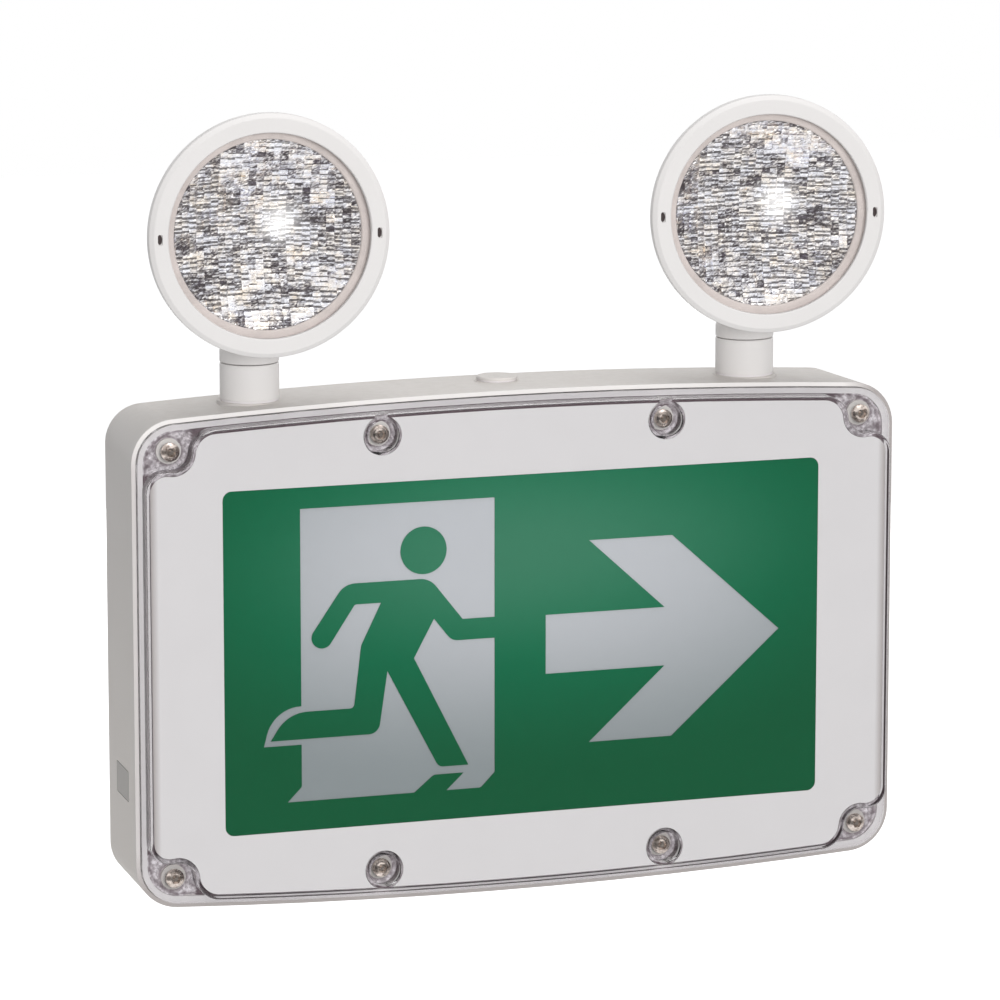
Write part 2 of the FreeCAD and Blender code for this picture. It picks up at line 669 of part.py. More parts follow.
def make_edge_lights():
    """A strip of small lamps along the upper and lower wall of the tray."""
    lamp = (3.5, 2.8, 1.2)
    lamps = []
    inner = size("tray_height") / 2 - size("sheet")
    start = size("tray_back") + 2.0
    for label, up in (("upper_led_strip", 1), ("lower_led_strip", -1)):
        low = "Sizes.tray_height / 2 - Sizes.sheet - Sizes.board"
        if up < 0:
            low = "-Sizes.tray_height / 2 + Sizes.sheet"
        strip = block(label, "-Sizes.strip_length / 2", low, "Sizes.tray_back + 2", "Sizes.strip_length",
                      "Sizes.board", "Sizes.strip_width")
        parts.append(strip)
        count = int(size("strip_leds"))
        pitch = size("strip_length") / count
        for number in range(count):
            across = (number + 0.5) * pitch - size("strip_length") / 2 - lamp[0] / 2
            face = inner - size("board")
            low_z = face - lamp[2] if up > 0 else -face
            corner = FreeCAD.Vector(across, -start - (size("strip_width") + lamp[1]) / 2, low_z)
            lamps.append(Part.makeBox(lamp[0], lamp[1], lamp[2], corner))
    group("strip_lamps", lamps)


# ---- battery and charger --------------------------------------------------------------------

def strap_screw_heights():
    reach = size("battery_height") / 2 + 1.5 + size("sheet") + size("strap_foot") / 2
    return (reach, -reach)


def make_battery():
    body = new_body("battery")
    half_length = size("battery_length") / 2
    half_height = size("battery_height") / 2
    middle = size("battery_x")
    pad(body, "case", rectangle(middle - half_length, middle + half_length, -half_height, half_height, 2.0),
        "Sizes.wall + 1", "Sizes.battery_depth")
    for number, across in enumerate((-60, -45)):
        tab = rectangle(middle + across, middle + across + 6.3, half_height - 1, half_height + 7)
        pad(body, "terminal_%d" % number, tab, "Sizes.wall + 12", "0.8")

    strap = new_body("battery_strap")
    thickness = size("sheet")
    outer = half_height + 1.5 + thickness
    front = size("wall") + 1 + size("battery_depth")
    foot = size("wall") + 8
    outline = []
    for side in (1, -1):
        bend = [
            (side * (outer + size("strap_foot")), foot),
            (side * (outer + size("strap_foot")), foot + thickness),
            (side * outer, foot + thickness),
            (side * outer, front + thickness),
        ]
        under = [
            (side * (outer - thickness), front),
            (side * (outer - thickness), foot),
        ]
        outline.append((bend, under))
    (right_bend, right_under), (left_bend, left_under) = outline
    path = right_bend + list(reversed(left_bend)) + list(reversed(left_under)) + right_under
    geometry = rounded([(-distance, up, 0) for up, distance in path])
    pad(strap, "band", geometry, "Sizes.battery_x - Sizes.strap_width / 2", "Sizes.strap_width",
        plane="YZ_Plane")
    for number, up in enumerate(strap_screw_heights()):
        pocket(strap, "hole_%d" % number, [circle(size("battery_x"), up, 1.8)], "Sizes.wall + 8 + Sizes.sheet",
               "Sizes.sheet")
    one = screw(7.0, 1.5, 2.9, 2.0)
    group("strap_screws", [moved(one, size("battery_x"), foot + thickness, up) for up in strap_screw_heights()])


def make_charger():
    board = new_body("charger_board")
    left = size("charger_x") - size("charger_width") / 2
    right = size("charger_x") + size("charger_width") / 2
    half_height = size("charger_height") / 2
    pad(board, "plate", rectangle(left, right, -half_height, half_height, 2.0), "Sizes.charger_distance",
        "Sizes.board")
    front = "Sizes.charger_distance + Sizes.board"
    for number, (across, up) in enumerate(board_holes()):
        pocket(board, "hole_%d" % number, [circle(across, up, 1.6)], front, "Sizes.board")
    one = screw(4.0, 1.25, 2.4, 1.8)
    seat = size("charger_distance") + size("board")
    group("board_screws", [moved(one, across, seat, up) for across, up in board_holes()])

    make_transformer(left + 14, front)


def make_transformer(core_left, front):
    """A coil on the board, and the laminated core that passes through it and round it."""
    core_right, core_low, core_high = core_left + 44, -8.0, 28.0
    core_back, core_depth = 5.0, 18.0
    leg, play = 7.0, 0.2
    middle = (core_left + core_right) / 2
    core = new_body("transformer_core")
    pad(core, "laminations", rectangle(core_left, core_right, core_low, core_high),
        "%s + %f" % (front, core_back), "%f" % core_depth)
    for number, (start, end) in enumerate(((core_left + leg, middle - leg), (middle + leg, core_right - leg))):
        pocket(core, "winding_window_%d" % number, rectangle(start, end, core_low + leg, core_high - leg),
               "%s + %f" % (front, core_back + core_depth), "%f" % core_depth)

    winding = new_body("transformer_winding")
    board_front = size("charger_distance") + size("board")
    core_start = board_front + core_back - play
    core_end = board_front + core_back + core_depth + play
    outside = rectangle(core_left + leg + play, core_right - leg - play, -core_end - core_back + play,
                        -board_front, 2.0)
    inside = rectangle(middle - leg - play, middle + leg + play, -core_end, -core_start)
    pad(winding, "coil", outside + inside, "%f" % (core_low + leg + play),
        "%f" % (core_high - core_low - 2 * leg - 2 * play), plane="XY_Plane")


def make_board_parts():
    front = "Sizes.charger_distance + Sizes.board"
    parts.append(block("relay", "Sizes.charger_x + 14", "8", front, "28", "13", "16"))
    parts.append(block("terminal_block", "Sizes.charger_x + 8", "-36", front, "36", "11", "13"))
    cans = []
    for across in (-30.0, -12.0):
        cans.append(Part.makeCylinder(6.5, 22.0, FreeCAD.Vector(size("charger_x") + across,
                                      -size("charger_distance") - size("board"), -28),
                                      FreeCAD.Vector(0, -1, 0)))
    group("capacitors", cans)


# ---- test button and plug -------------------------------------------------------------------

def side_wall_x(distance):
    """Where the outside of the left wall stands at a distance from the back."""
    return -(size("box_width") / 2 - size("side_draft") * (1 - distance / size("rim_front")))


def make_test_button():
    body = new_body("test_button")
    near = size("button_distance") - size("button_width") / 2
    far = size("button_distance") + size("button_width") / 2
    inside = -size("box_width") / 2 + size("land")
    flange_outer = inside + 0.3
    flange_inner = flange_outer + 1.4
    low = size("button_z") - size("button_height") / 2
    high = size("button_z") + size("button_height") / 2
    length = flange_inner + size("box_width") / 2 + 2
    pad(body, "cap", rectangle(-far, -near, low, high, 1.2), "%f" % (flange_inner - length), "%f" % length,
        plane="YZ_Plane")
    beyond = -size("box_width") / 2 - 5
    slope = rounded([
        (side_wall_x(near - 3), -near + 3, 0),
        (side_wall_x(far + 3), -far - 3, 0),
        (beyond, -far - 3, 0),
        (beyond, -near + 3, 0),
    ])
    pocket(body, "slope", slope, "%f" % (high + 1), "%f" % (high - low + 2), plane="XY_Plane")
    flange = rectangle(-far - 2, -near + 2, low - 2, high + 2)
    pad(body, "flange", flange, "%f" % flange_outer, "%f" % (flange_inner - flange_outer), plane="YZ_Plane")
    stem = [circle(-size("button_distance"), size("button_z"), 2.0)]
    pad(body, "stem", stem, "%f" % flange_inner, "7", plane="YZ_Plane")

    switch = new_body("test_switch")
    left = -size("box_width") / 2 + 12
    outline = rectangle(left, left + 12, size("button_z") - 6.5, size("button_z") + 6.5, 0.8)
    pad(switch, "case", outline, "Sizes.button_distance - 10", "20")
    pocket(switch, "plunger_hole", [circle(-size("button_distance"), size("button_z"), 2.3)],
           "%f" % (left + 6), "7", plane="YZ_Plane")


def make_plug():
    plug = new_body("conduit_plug")
    seat = size("plug_seat") + size("seal_thickness")
    shank = size("plug_shank")
    radius = size("plug_radius")
    head = rounded([
        (0, seat - 9, 0),
        (shank, seat - 9, 0),
        (shank, seat, 0),
        (radius, seat, 0),
        (radius, seat + size("plug_head"), 0.6),
        (0, seat + size("plug_head"), 0),
    ])
    revolve(plug, "turned", head, "XZ_Plane", "V_Axis")
    plug.setExpression("Placement.Base.y", "-Sizes.plug_distance")

    washer = new_body("plug_washer")
    ring = [circle(0, -size("plug_distance"), size("plug_radius") - 0.5),
            circle(0, -size("plug_distance"), size("plug_shank") + size("screw_play"))]
    pad(washer, "ring", ring, "Sizes.plug_seat", "Sizes.seal_thickness", plane="XY_Plane")


# ---- posts, necks and lamp heads ------------------------------------------------------------

def stand(body, side, up="0", turned=False):
    """Place a piece made about the post's axis; what swivels also looks a little to the left."""
    angle = size(side + "_turn") if turned else 0
    body.Placement = FreeCAD.Placement(FreeCAD.Vector(), FreeCAD.Rotation(AXIS_Z, angle))
    body.setExpression("Placement.Base.x", "-Sizes.post_x" if side == "left" else "Sizes.post_x")
    body.setExpression("Placement.Base.y", "-Sizes.post_distance")
    body.setExpression("Placement.Base.z", up)


def hexagon(corner_radius):
    corners = [math.radians(60 * step) for step in range(6)]
    return rounded([(corner_radius * math.cos(a), corner_radius * math.sin(a), 0) for a in corners])


def make_post(side):
    radius = size("post_radius")
    foot = size("post_foot") + size("seal_thickness")
    bore = size("swivel_radius") + size("swivel_play")
    post = new_body(side + "_post")
    profile = rounded([
        (bore, size("post_tail"), 0),
        (size("post_shank"), size("post_tail"), 0.5),
        (size("post_shank"), foot, 0),
        (radius, foot, 0.4),
        (radius, size("post_top"), 0.7),
        (bore, size("post_top"), 0),
    ])
    revolve(post, "turned", profile, "XZ_Plane", "V_Axis")
    stand(post, side)

    seal = new_body(side + "_post_seal")
    ring = rectangle(size("post_shank") + 0.3, radius - 0.3, size("post_foot"), foot)
    revolve(seal, "ring", ring, "XZ_Plane", "V_Axis")
    stand(seal, side)

    nut = new_body(side + "_post_nut")
    top = "Sizes.box_height / 2 - Sizes.land - 3.5"
    thread = circle(0, 0, size("post_shank") + size("screw_play"))
    pad(nut, "hexagon", hexagon(15.0) + [thread], top, "5", plane="XY_Plane", reverse=True)
    stand(nut, side)


def make_neck(side):
    neck = new_body(side + "_neck")
    low = size("post_top") + size("neck_gap")
    high = low + size("neck_height")
    radius = size("post_radius")
    spigot = size("swivel_radius")
    tail = size("post_tail") - 4
    profile = rounded([
        (size("lead_radius"), tail, 0),
        (spigot, tail, 0.4),
        (spigot, size("post_tail") - 2, 0),
        (spigot - 1, size("post_tail") - 2, 0),
        (spigot - 1, size("post_tail") - 0.8, 0),
        (spigot, size("post_tail") - 0.8, 0),
        (spigot, low, 0),
        (radius, low, 0.6),
        (radius, high, 2.2),
        (size("lead_radius"), high, 0),
    ])
    revolve(neck, "turned", profile, "XZ_Plane", "V_Axis")
    eye = size("tongue_radius")
    pivot = size("pivot_z")
    tongue = rounded([(-eye, high - 2, 0), (eye, high - 2, 0), (eye, pivot + eye, eye - 0.01),
                      (-eye, pivot + eye, eye - 0.01)])
    pad(neck, "tongue", tongue, "-Sizes.tongue_width / 2", "Sizes.tongue_width", plane="YZ_Plane")
    bore = [circle(0, pivot, size("pivot_radius") + size("swivel_play"))]
    pocket(neck, "pivot_hole", bore, "Sizes.tongue_width / 2", "Sizes.tongue_width", plane="YZ_Plane")
    stand(neck, side, turned=True)

    clip = new_body(side + "_neck_clip")
    ring = rectangle(spigot - 0.95, spigot + 3, size("post_tail") - 1.9, size("post_tail") - 0.9)
    revolve(clip, "ring", ring, "XZ_Plane", "V_Axis")
    stand(clip, side, turned=True)


def make_tilt_screw(side):
    """Screw and nut that clamp the ears of the head on the neck's tongue."""
    half_clamp = size("tongue_width") / 2 + size("ear_gap") + size("ear_width")
    pin = size("pivot_radius")
    bolt = new_body(side + "_tilt_screw")
    profile = rounded([
        (-half_clamp - 3, 0, 0),
        (-half_clamp - 3, 4.6, 1.2),
        (-half_clamp, 4.6, 0),
        (-half_clamp, pin, 0),
        (half_clamp + 4, pin, 0.4),
        (half_clamp + 4, 0, 0),
    ])
    revolve(bolt, "turned", profile, "XZ_Plane", "H_Axis")
    pocket(bolt, "drive_slot", rectangle(-0.6, 0.6, -5, 5), "%f" % (-half_clamp - 1.6), "3",
           plane="YZ_Plane")
    stand(bolt, side, "Sizes.pivot_z", turned=True)

    nut = new_body(side + "_tilt_nut")
    pad(nut, "hexagon", hexagon(4.6) + [circle(0, 0, pin + 0.05)], "%f" % half_clamp, "3", plane="YZ_Plane")
    stand(nut, side, "Sizes.pivot_z", turned=True)


def make_head(side):
    """Lamp head about its own axis, which points along -Y: profiles are (-forward, radius)."""
    front = size("head_front")
    skin = size("bezel_skin")
    rim = size("bezel_radius")
    skirt = front - size("bezel_depth")
    wall = size("shell_wall")
    mouth = rim - skin - 0.3
    lens_back = front - skin - size("lens_thickness") - 0.2

    shell = new_body(side + "_head_shell")
    back = 2.0
    pivot = size("pivot_z") - size("head_z")
    half_gap = size("tongue_width") / 2 + size("ear_gap")
    eye = size("tongue_radius")
    bowl = rounded([
        (-back, 0, 0),
        (-back, 29, 6.0),
        (-back - 16, 45, 14.0),
        (-skirt + 1, mouth - 0.8, 2.0),
        (-lens_back, mouth - 0.8, 0),
        (-lens_back, 0, 0),
    ])
    revolve(shell, "bowl", bowl, "YZ_Plane", "H_Axis")
    ear = rounded([
        (eye, pivot - eye, eye - 0.01),
        (eye, pivot + 10, 3.0),
        (-back - 4, pivot + 22, 0),
        (-back - 20, pivot + 12, 0),
        (-back - 13, pivot - 1, 3.0),
        (-eye, pivot - eye, eye - 0.01),
    ])
    for number, start in enumerate((half_gap, -half_gap - size("ear_width"))):
        pad(shell, "ear_%d" % number, ear, "%f" % start, "Sizes.ear_width", plane="YZ_Plane")
    inside = rounded([
        (-back - wall, 0, 0),
        (-back - wall, 28 - wall, 5.0),
        (-back - 17, 44.2 - wall, 13.0),
        (-skirt, mouth - 0.8 - wall, 2.0),
        (-lens_back - 1, mouth - 0.8 - wall, 0),
        (-lens_back - 1, 0, 0),
    ])
    revolve(shell, "hollow", inside, "YZ_Plane", "H_Axis", cut=True)
    revolve(shell, "lamp_seat", rectangle(-9.7, -3.0, 6.0, 11.0), "YZ_Plane", "H_Axis")
    hole = [circle(0, pivot, size("pivot_radius") + 0.1)]
    pocket(shell, "pivot_hole", hole, "%f" % (half_gap + size("ear_width") + 1),
           "%f" % (2 * half_gap + 2 * size("ear_width") + 2), plane="YZ_Plane")

    bezel = new_body(side + "_head_bezel")
    opening = size("bezel_opening")
    ring = rounded([
        (-skirt, mouth + 0.3, 0),
        (-skirt, rim, 0.5),
        (-front + 1.4, rim, 0.8),
        (-front, rim - 2.0, 0.8),
        (-front, opening, 0.6),
        (-front + skin, opening, 0),
        (-front + skin, mouth + 0.3, 0.6),
    ])
    revolve(bezel, "ring", ring, "YZ_Plane", "H_Axis")
    for number, sign in enumerate((-1, 1)):
        middle = sign * size("slot_x")
        slot = rectangle(middle - size("slot_width") / 2, middle + size("slot_width") / 2,
                         -size("slot_height") / 2, size("slot_height") / 2, 0.5)
        pocket(bezel, "latch_slot_%d" % number, slot, "Sizes.head_front", "1.2")

    lens = new_body(side + "_head_lens")
    glass = rounded([
        (-lens_back, 0, 0),
        (-lens_back, size("lens_radius"), 0),
        (-lens_back - size("lens_thickness"), size("lens_radius"), 0.3),
        (-lens_back - size("lens_thickness"), 0, 0),
    ])
    revolve(lens, "disc", glass, "YZ_Plane", "H_Axis")

    seal = new_body(side + "_lens_seal")
    ring = rectangle(-lens_back - size("lens_thickness"), -lens_back, size("lens_radius") + 0.1, mouth + 0.1)
    revolve(seal, "ring", ring, "YZ_Plane", "H_Axis")

    reflector = new_body(side + "_reflector")
    cup = rounded([
        (-12, 8.0, 0),
        (-20, 27.0, 20.0),
        (-lens_back + 1, 43.4, 0),
        (-lens_back + 1, 45.2, 0),
        (-lens_back + 0.2, 45.2, 0),
        (-lens_back + 0.2, 42.4, 0),
        (-20.8, 26.0, 20.0),
        (-13.2, 8.0, 0),
    ])
    revolve(reflector, "cup", cup, "YZ_Plane", "H_Axis")

    board = new_body(side + "_lamp_board")
    disc = rectangle(-11.4, -9.8, 0, 14.0)
    revolve(board, "disc", disc, "YZ_Plane", "H_Axis")

    emitter = new_body(side + "_lamp_emitter")
    chip = rounded([(-11.4, 0, 0), (-11.4, 3.6, 0), (-12.6, 3.6, 0.3), (-14.6, 1.9, 1.5), (-14.6, 0, 0)])
    revolve(emitter, "chip", chip, "YZ_Plane", "H_Axis")

    for body in (shell, bezel, lens, seal, reflector, board, emitter):
        stand(body, side, "Sizes.head_z", turned=True)


# ---- build, check and write -----------------------------------------------------------------

make_back_box()
make_gasket()
make_clear_cover()
make_cover_screws()
make_face_mask()
make_legend()
make_light_panel()
make_tray()
make_edge_lights()
make_battery()
make_charger()
make_board_parts()
make_test_button()
make_plug()
for lamp_side in ("left", "right"):
    make_post(lamp_side)
    make_neck(lamp_side)
    make_tilt_screw(lamp_side)
    make_head(lamp_side)
doc.recompute()

for item in doc.Objects:
    if {"Invalid", "Error"} & set(item.State):
        raise RuntimeError("%s failed: %s" % (item.Label, item.State))
for part in parts:
    if part.Shape.isNull() or not part.Shape.isValid() or not part.Shape.Solids:
        raise RuntimeError("%s has no valid solid" % part.Label)

os.makedirs("parts", exist_ok=True)
for part in parts:
    part.Shape.exportStep("parts/%s.step" % part.Label)
    print("%-22s solids %2d  volume %10.1f" % (part.Label, len(part.Shape.Solids), part.Shape.Volume))
print("%d nodes" % len(parts))
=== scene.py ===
"""Emergency exit light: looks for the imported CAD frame, in metres, +Z up, front along -Y."""

import json
import math

import bpy
import numpy as np
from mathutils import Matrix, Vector


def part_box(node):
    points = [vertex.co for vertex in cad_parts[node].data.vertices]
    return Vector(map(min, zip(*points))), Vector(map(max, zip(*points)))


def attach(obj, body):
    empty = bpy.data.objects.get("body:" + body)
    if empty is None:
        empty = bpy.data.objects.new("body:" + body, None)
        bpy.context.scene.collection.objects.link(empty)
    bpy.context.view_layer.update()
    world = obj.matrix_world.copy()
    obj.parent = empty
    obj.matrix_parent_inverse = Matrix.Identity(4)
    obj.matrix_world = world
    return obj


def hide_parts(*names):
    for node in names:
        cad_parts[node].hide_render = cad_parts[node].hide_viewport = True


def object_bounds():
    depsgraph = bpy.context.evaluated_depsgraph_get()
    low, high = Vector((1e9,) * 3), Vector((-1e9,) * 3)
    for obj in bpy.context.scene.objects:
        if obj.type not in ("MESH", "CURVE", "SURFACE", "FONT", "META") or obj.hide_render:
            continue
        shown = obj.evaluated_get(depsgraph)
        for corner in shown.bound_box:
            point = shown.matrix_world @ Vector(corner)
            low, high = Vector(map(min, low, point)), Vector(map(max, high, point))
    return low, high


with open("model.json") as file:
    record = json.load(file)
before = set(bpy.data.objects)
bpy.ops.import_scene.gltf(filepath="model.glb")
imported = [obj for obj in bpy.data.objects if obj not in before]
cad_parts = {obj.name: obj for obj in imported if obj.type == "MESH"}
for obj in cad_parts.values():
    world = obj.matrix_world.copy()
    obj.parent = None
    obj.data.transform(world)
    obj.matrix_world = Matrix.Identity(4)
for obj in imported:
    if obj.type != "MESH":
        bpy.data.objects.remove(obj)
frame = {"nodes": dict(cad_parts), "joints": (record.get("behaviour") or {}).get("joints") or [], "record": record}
cad_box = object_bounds()
nodes = frame["nodes"]
joints = {joint["name"]: joint for joint in frame["joints"]}
chance = np.random.default_rng(7)

MM = 0.001
SIDES = ("left", "right")
AMBIENT = 0.42                  # even light of the room on diffuse surfaces
PAINTED_BACKLIGHT_Z = 0.042                  # height of the painted bright spot of backlight in the legend
ACRYLIC_IOR = 1.49


# ---- node tools -----------------------------------------------------------------------------

class Graph:
    """Places shader nodes in one tree and links sockets by name."""

    def __init__(self, tree):
        self.tree = tree

    def add(self, kind, values=None, **settings):
        node = self.tree.nodes.new(kind)
        for name, value in settings.items():
            setattr(node, name, value)
        for name, value in (values or {}).items():
            self.feed(node.inputs[name], value)
        return node

    def feed(self, socket, value):
        if isinstance(value, bpy.types.NodeSocket):
            self.tree.links.new(value, socket)
        else:
            socket.default_value = value

    def math(self, operation, first, second=0.0, clamp=False):
        node = self.add("ShaderNodeMath", operation=operation, use_clamp=clamp)
        self.feed(node.inputs[0], first)
        self.feed(node.inputs[1], second)
        return node.outputs[0]

    def mix(self, factor, first, second, blend="MIX"):
        node = self.add("ShaderNodeMix", data_type="RGBA", blend_type=blend)
        self.feed(node.inputs[0], factor)
        self.feed(node.inputs[6], first)
        self.feed(node.inputs[7], second)
        return node.outputs[2]

    def spread(self, value, low, high, to_low=0.0, to_high=1.0):
        """Stretch value from low..high to to_low..to_high, clamped."""
        node = self.add("ShaderNodeMapRange", clamp=True)
        for name, given in zip(("Value", "From Min", "From Max", "To Min", "To Max"),
                               (value, low, high, to_low, to_high)):
            self.feed(node.inputs[name], given)
        return node.outputs[0]

    def noise(self, vector, scale, detail=2.0, roughness=0.5):
        values = {"Vector": vector, "Scale": scale, "Detail": detail, "Roughness": roughness}
        return self.add("ShaderNodeTexNoise", values).outputs["Fac"]

    def place(self):
        return self.add("ShaderNodeTexCoord").outputs["Object"]

    def normal(self):
        return self.add("ShaderNodeNewGeometry").outputs["Normal"]

    def axes(self, vector):
        return self.add("ShaderNodeSeparateXYZ", {"Vector": vector}).outputs

    def attribute(self, name):
        return self.add("ShaderNodeAttribute", attribute_name=name).outputs["Fac"]


def colour(red, green, blue):
    return (red, green, blue, 1.0)


def new_group(name, inputs, outputs):
    """A node group; inputs and outputs are {name: (socket type, default)}."""
    tree = bpy.data.node_groups.new(name, "ShaderNodeTree")
    for title, (kind, default) in inputs.items():
        socket = tree.interface.new_socket(title, in_out="INPUT", socket_type=kind)
        socket.default_value = default
    for title, kind in outputs.items():
        tree.interface.new_socket(title, in_out="OUTPUT", socket_type=kind)
    graph = Graph(tree)
    return graph, graph.add("NodeGroupInput").outputs, graph.add("NodeGroupOutput").inputs


FLOAT, COLOUR = "NodeSocketFloat", "NodeSocketColor"
WHITE = colour(0.79, 0.77, 0.775)
DUST = colour(0.42, 0.38, 0.33)


def make_moulded_group():
    """Moulded plastic: cloudy tone, fine grain in the surface, faint dust on what faces up.

    Colour = base x (1 + Cloud x (broad noise - 0.5)), mixed towards the dust colour by
    Dust x upward facing x noise.  Roughness varies with the same cloud.  Height is fine noise.
    """
    graph, given, out = new_group("moulded", {
        "Base": (COLOUR, colour(0.8, 0.8, 0.8)),
        "Cloud": (FLOAT, 0.06),
        "Cloud Scale": (FLOAT, 30.0),
        "Grain Scale": (FLOAT, 1500.0),
        "Roughness": (FLOAT, 0.45),
        "Roughness Spread": (FLOAT, 0.12),
        "Dust": (FLOAT, 0.1),
    }, {"Colour": COLOUR, "Roughness": FLOAT, "Height": FLOAT})
    place = graph.place()
    cloud = graph.noise(place, given["Cloud Scale"], 4.0, 0.6)
    swing = graph.math("MULTIPLY", graph.math("SUBTRACT", cloud, 0.5), 2.0)
    gain = graph.math("ADD", graph.math("MULTIPLY", swing, given["Cloud"]), 1.0)
    toned = graph.add("ShaderNodeVectorMath", operation="SCALE")
    graph.feed(toned.inputs[0], given["Base"])
    graph.feed(toned.inputs["Scale"], gain)
    upward = graph.spread(graph.axes(graph.normal())["Z"], 0.55, 1.0)
    flecks = graph.spread(graph.noise(place, 220.0, 3.0, 0.7), 0.42, 0.7)
    settled = graph.math("MULTIPLY", graph.math("MULTIPLY", upward, flecks), given["Dust"])
    graph.feed(out["Colour"], graph.mix(settled, toned.outputs[0], DUST))
    swung = graph.math("MULTIPLY", swing, given["Roughness Spread"])
    rough = graph.math("ADD", swung, given["Roughness"])
    rough = graph.math("ADD", rough, graph.math("MULTIPLY", settled, 0.3), clamp=True)
    graph.feed(out["Roughness"], rough)
    graph.feed(out["Height"], graph.noise(place, given["Grain Scale"], 2.0, 0.6))
    return graph.tree


def make_worked_metal_group():
    """Worked metal: short streaks in tone and roughness, with stain where the noise is high."""
    graph, given, out = new_group("worked_metal", {
        "Base": (COLOUR, colour(0.6, 0.6, 0.6)),
        "Stain": (COLOUR, colour(0.2, 0.15, 0.1)),
        "Stain Amount": (FLOAT, 0.3),
        "Streak Scale": (FLOAT, 900.0),
        "Roughness": (FLOAT, 0.3),
    }, {"Colour": COLOUR, "Roughness": FLOAT, "Height": FLOAT})
    place = graph.place()
    along = graph.add("ShaderNodeMapping", {"Vector": place, "Scale": (1.0, 1.0, 0.12)}).outputs[0]
    streak = graph.noise(along, given["Streak Scale"], 3.0, 0.7)
    patch = graph.noise(place, 480.0, 3.0, 0.6)
    stained = graph.math("MULTIPLY", graph.spread(patch, 0.45, 0.75), given["Stain Amount"])
    bright = graph.mix(graph.math("MULTIPLY", streak, 0.35), given["Base"], colour(0.95, 0.95, 0.95))
    graph.feed(out["Colour"], graph.mix(stained, bright, given["Stain"]))
    rough = graph.math("ADD", given["Roughness"], graph.math("MULTIPLY", streak, 0.15))
    rough = graph.math("ADD", rough, graph.math("MULTIPLY", stained, 0.3), clamp=True)
    graph.feed(out["Roughness"], rough)
    graph.feed(out["Height"], streak)
    return graph.tree


MOULDED = make_moulded_group()
WORKED_METAL = make_worked_metal_group()


# ---- materials ------------------------------------------------------------------------------

def new_material(name):
    """A material with its Principled shader and output: (material, graph, shader, output)."""
    material = bpy.data.materials.new(name)
    material.use_nodes = True
    material.node_tree.nodes.clear()
    graph = Graph(material.node_tree)
    shader = graph.add("ShaderNodeBsdfPrincipled")
    output = graph.add("ShaderNodeOutputMaterial")
    graph.feed(output.inputs["Surface"], shader.outputs[0])
    return material, graph, shader, output


def dress(graph, shader, group, height, **values):
    """Drive the shader's colour, roughness and bump from a group given its own values."""
    node = graph.add("ShaderNodeGroup", node_tree=group)
    for name, value in values.items():
        graph.feed(node.inputs[name.replace("_", " ").title()], value)
    graph.feed(shader.inputs["Base Color"], node.outputs["Colour"])
    graph.feed(shader.inputs["Roughness"], node.outputs["Roughness"])
    bump = graph.add("ShaderNodeBump", {"Height": node.outputs["Height"], "Distance": height})
    graph.feed(shader.inputs["Normal"], bump.outputs[0])


def moulded(name, base, roughness, height=0.03 * MM, **values):
    material, graph, shader, _ = new_material(name)
    dress(graph, shader, MOULDED, height, base=base, roughness=roughness, **values)
    return material


def worked_metal(name, base, roughness, height=0.01 * MM, **values):
    material, graph, shader, _ = new_material(name)
    shader.inputs["Metallic"].default_value = 1.0
    dress(graph, shader, WORKED_METAL, height, base=base, roughness=roughness, **values)
    return material


def clear_plastic(name, tint, roughness):
    """Clear moulding: rays from lamps pass straight through it, so what lies behind it is lit."""
    material, graph, shader, output = new_material(name)
    shader.inputs["Transmission Weight"].default_value = 1.0
    shader.inputs["IOR"].default_value = ACRYLIC_IOR
    shader.inputs["Base Color"].default_value = tint
    place = graph.place()
    smear = graph.noise(place, 60.0, 3.0, 0.6)
    smeared = graph.spread(smear, 0.45, 0.8, roughness * 0.5, roughness * 2.0)
    graph.feed(shader.inputs["Roughness"], smeared)
    passing = graph.add("ShaderNodeBsdfTransparent", {"Color": colour(0.96, 0.96, 0.96)})
    path = graph.add("ShaderNodeLightPath").outputs
    light_ray = graph.math("MAXIMUM", path["Is Shadow Ray"], path["Is Diffuse Ray"])
    mixed = graph.add("ShaderNodeMixShader", {"Fac": light_ray})
    graph.feed(mixed.inputs[1], shader.outputs[0])
    graph.feed(mixed.inputs[2], passing.outputs[0])
    graph.feed(output.inputs["Surface"], mixed.outputs[0])
    return material


def painted_backlight(name, dim, bright, painted_haze, cloud):
    """Legend surface with painted backlight: dim at its foot, a painted bright spot above the middle.

    Tone = dim to bright by a smooth fall from 1 to 0 over the ellipse round (0, PAINTED_BACKLIGHT_Z), plus a
    pale veil of painted light over a smaller and flatter ellipse.
    """
    material, graph, shader, _ = new_material(name)
    shader.inputs["Specular IOR Level"].default_value = 0.2
    place = graph.place()

    def fall(radius_x, radius_z, near):
        """1 inside near x the radii, and 0 from the ellipse outwards."""
        scaled = graph.add("ShaderNodeMapping", {
            "Vector": place,
            "Location": (0, 0, -PAINTED_BACKLIGHT_Z / radius_z),
            "Scale": (1 / radius_x, 0, 1 / radius_z),
        })
        away = graph.add("ShaderNodeVectorMath", {"Vector": scaled.outputs[0]}, operation="LENGTH")
        ramp = graph.add("ShaderNodeMapRange", {
            "Value": away.outputs["Value"],
            "From Min": near,
            "From Max": 1.0,
            "To Min": 1.0,
            "To Max": 0.0,
        }, interpolation_type="SMOOTHSTEP")
        return ramp.outputs[0]

    # painted backlight: dim to bright round the spot, then a pale veil of painted light over it
    tone = graph.mix(fall(0.23, 0.105, 0.15), dim, bright)
    painted_haze_tone = graph.mix(fall(0.15, 0.055, 0.05), colour(0, 0, 0), painted_haze)
    total = graph.mix(1.0, tone, painted_haze_tone, "ADD")
    dress(graph, shader, MOULDED, 0.02 * MM, base=total, roughness=0.5, cloud=cloud,
          cloud_scale=420.0, grain_scale=900.0, dust=0.0)
    return material


WALL_HALF_HEIGHT = 0.105


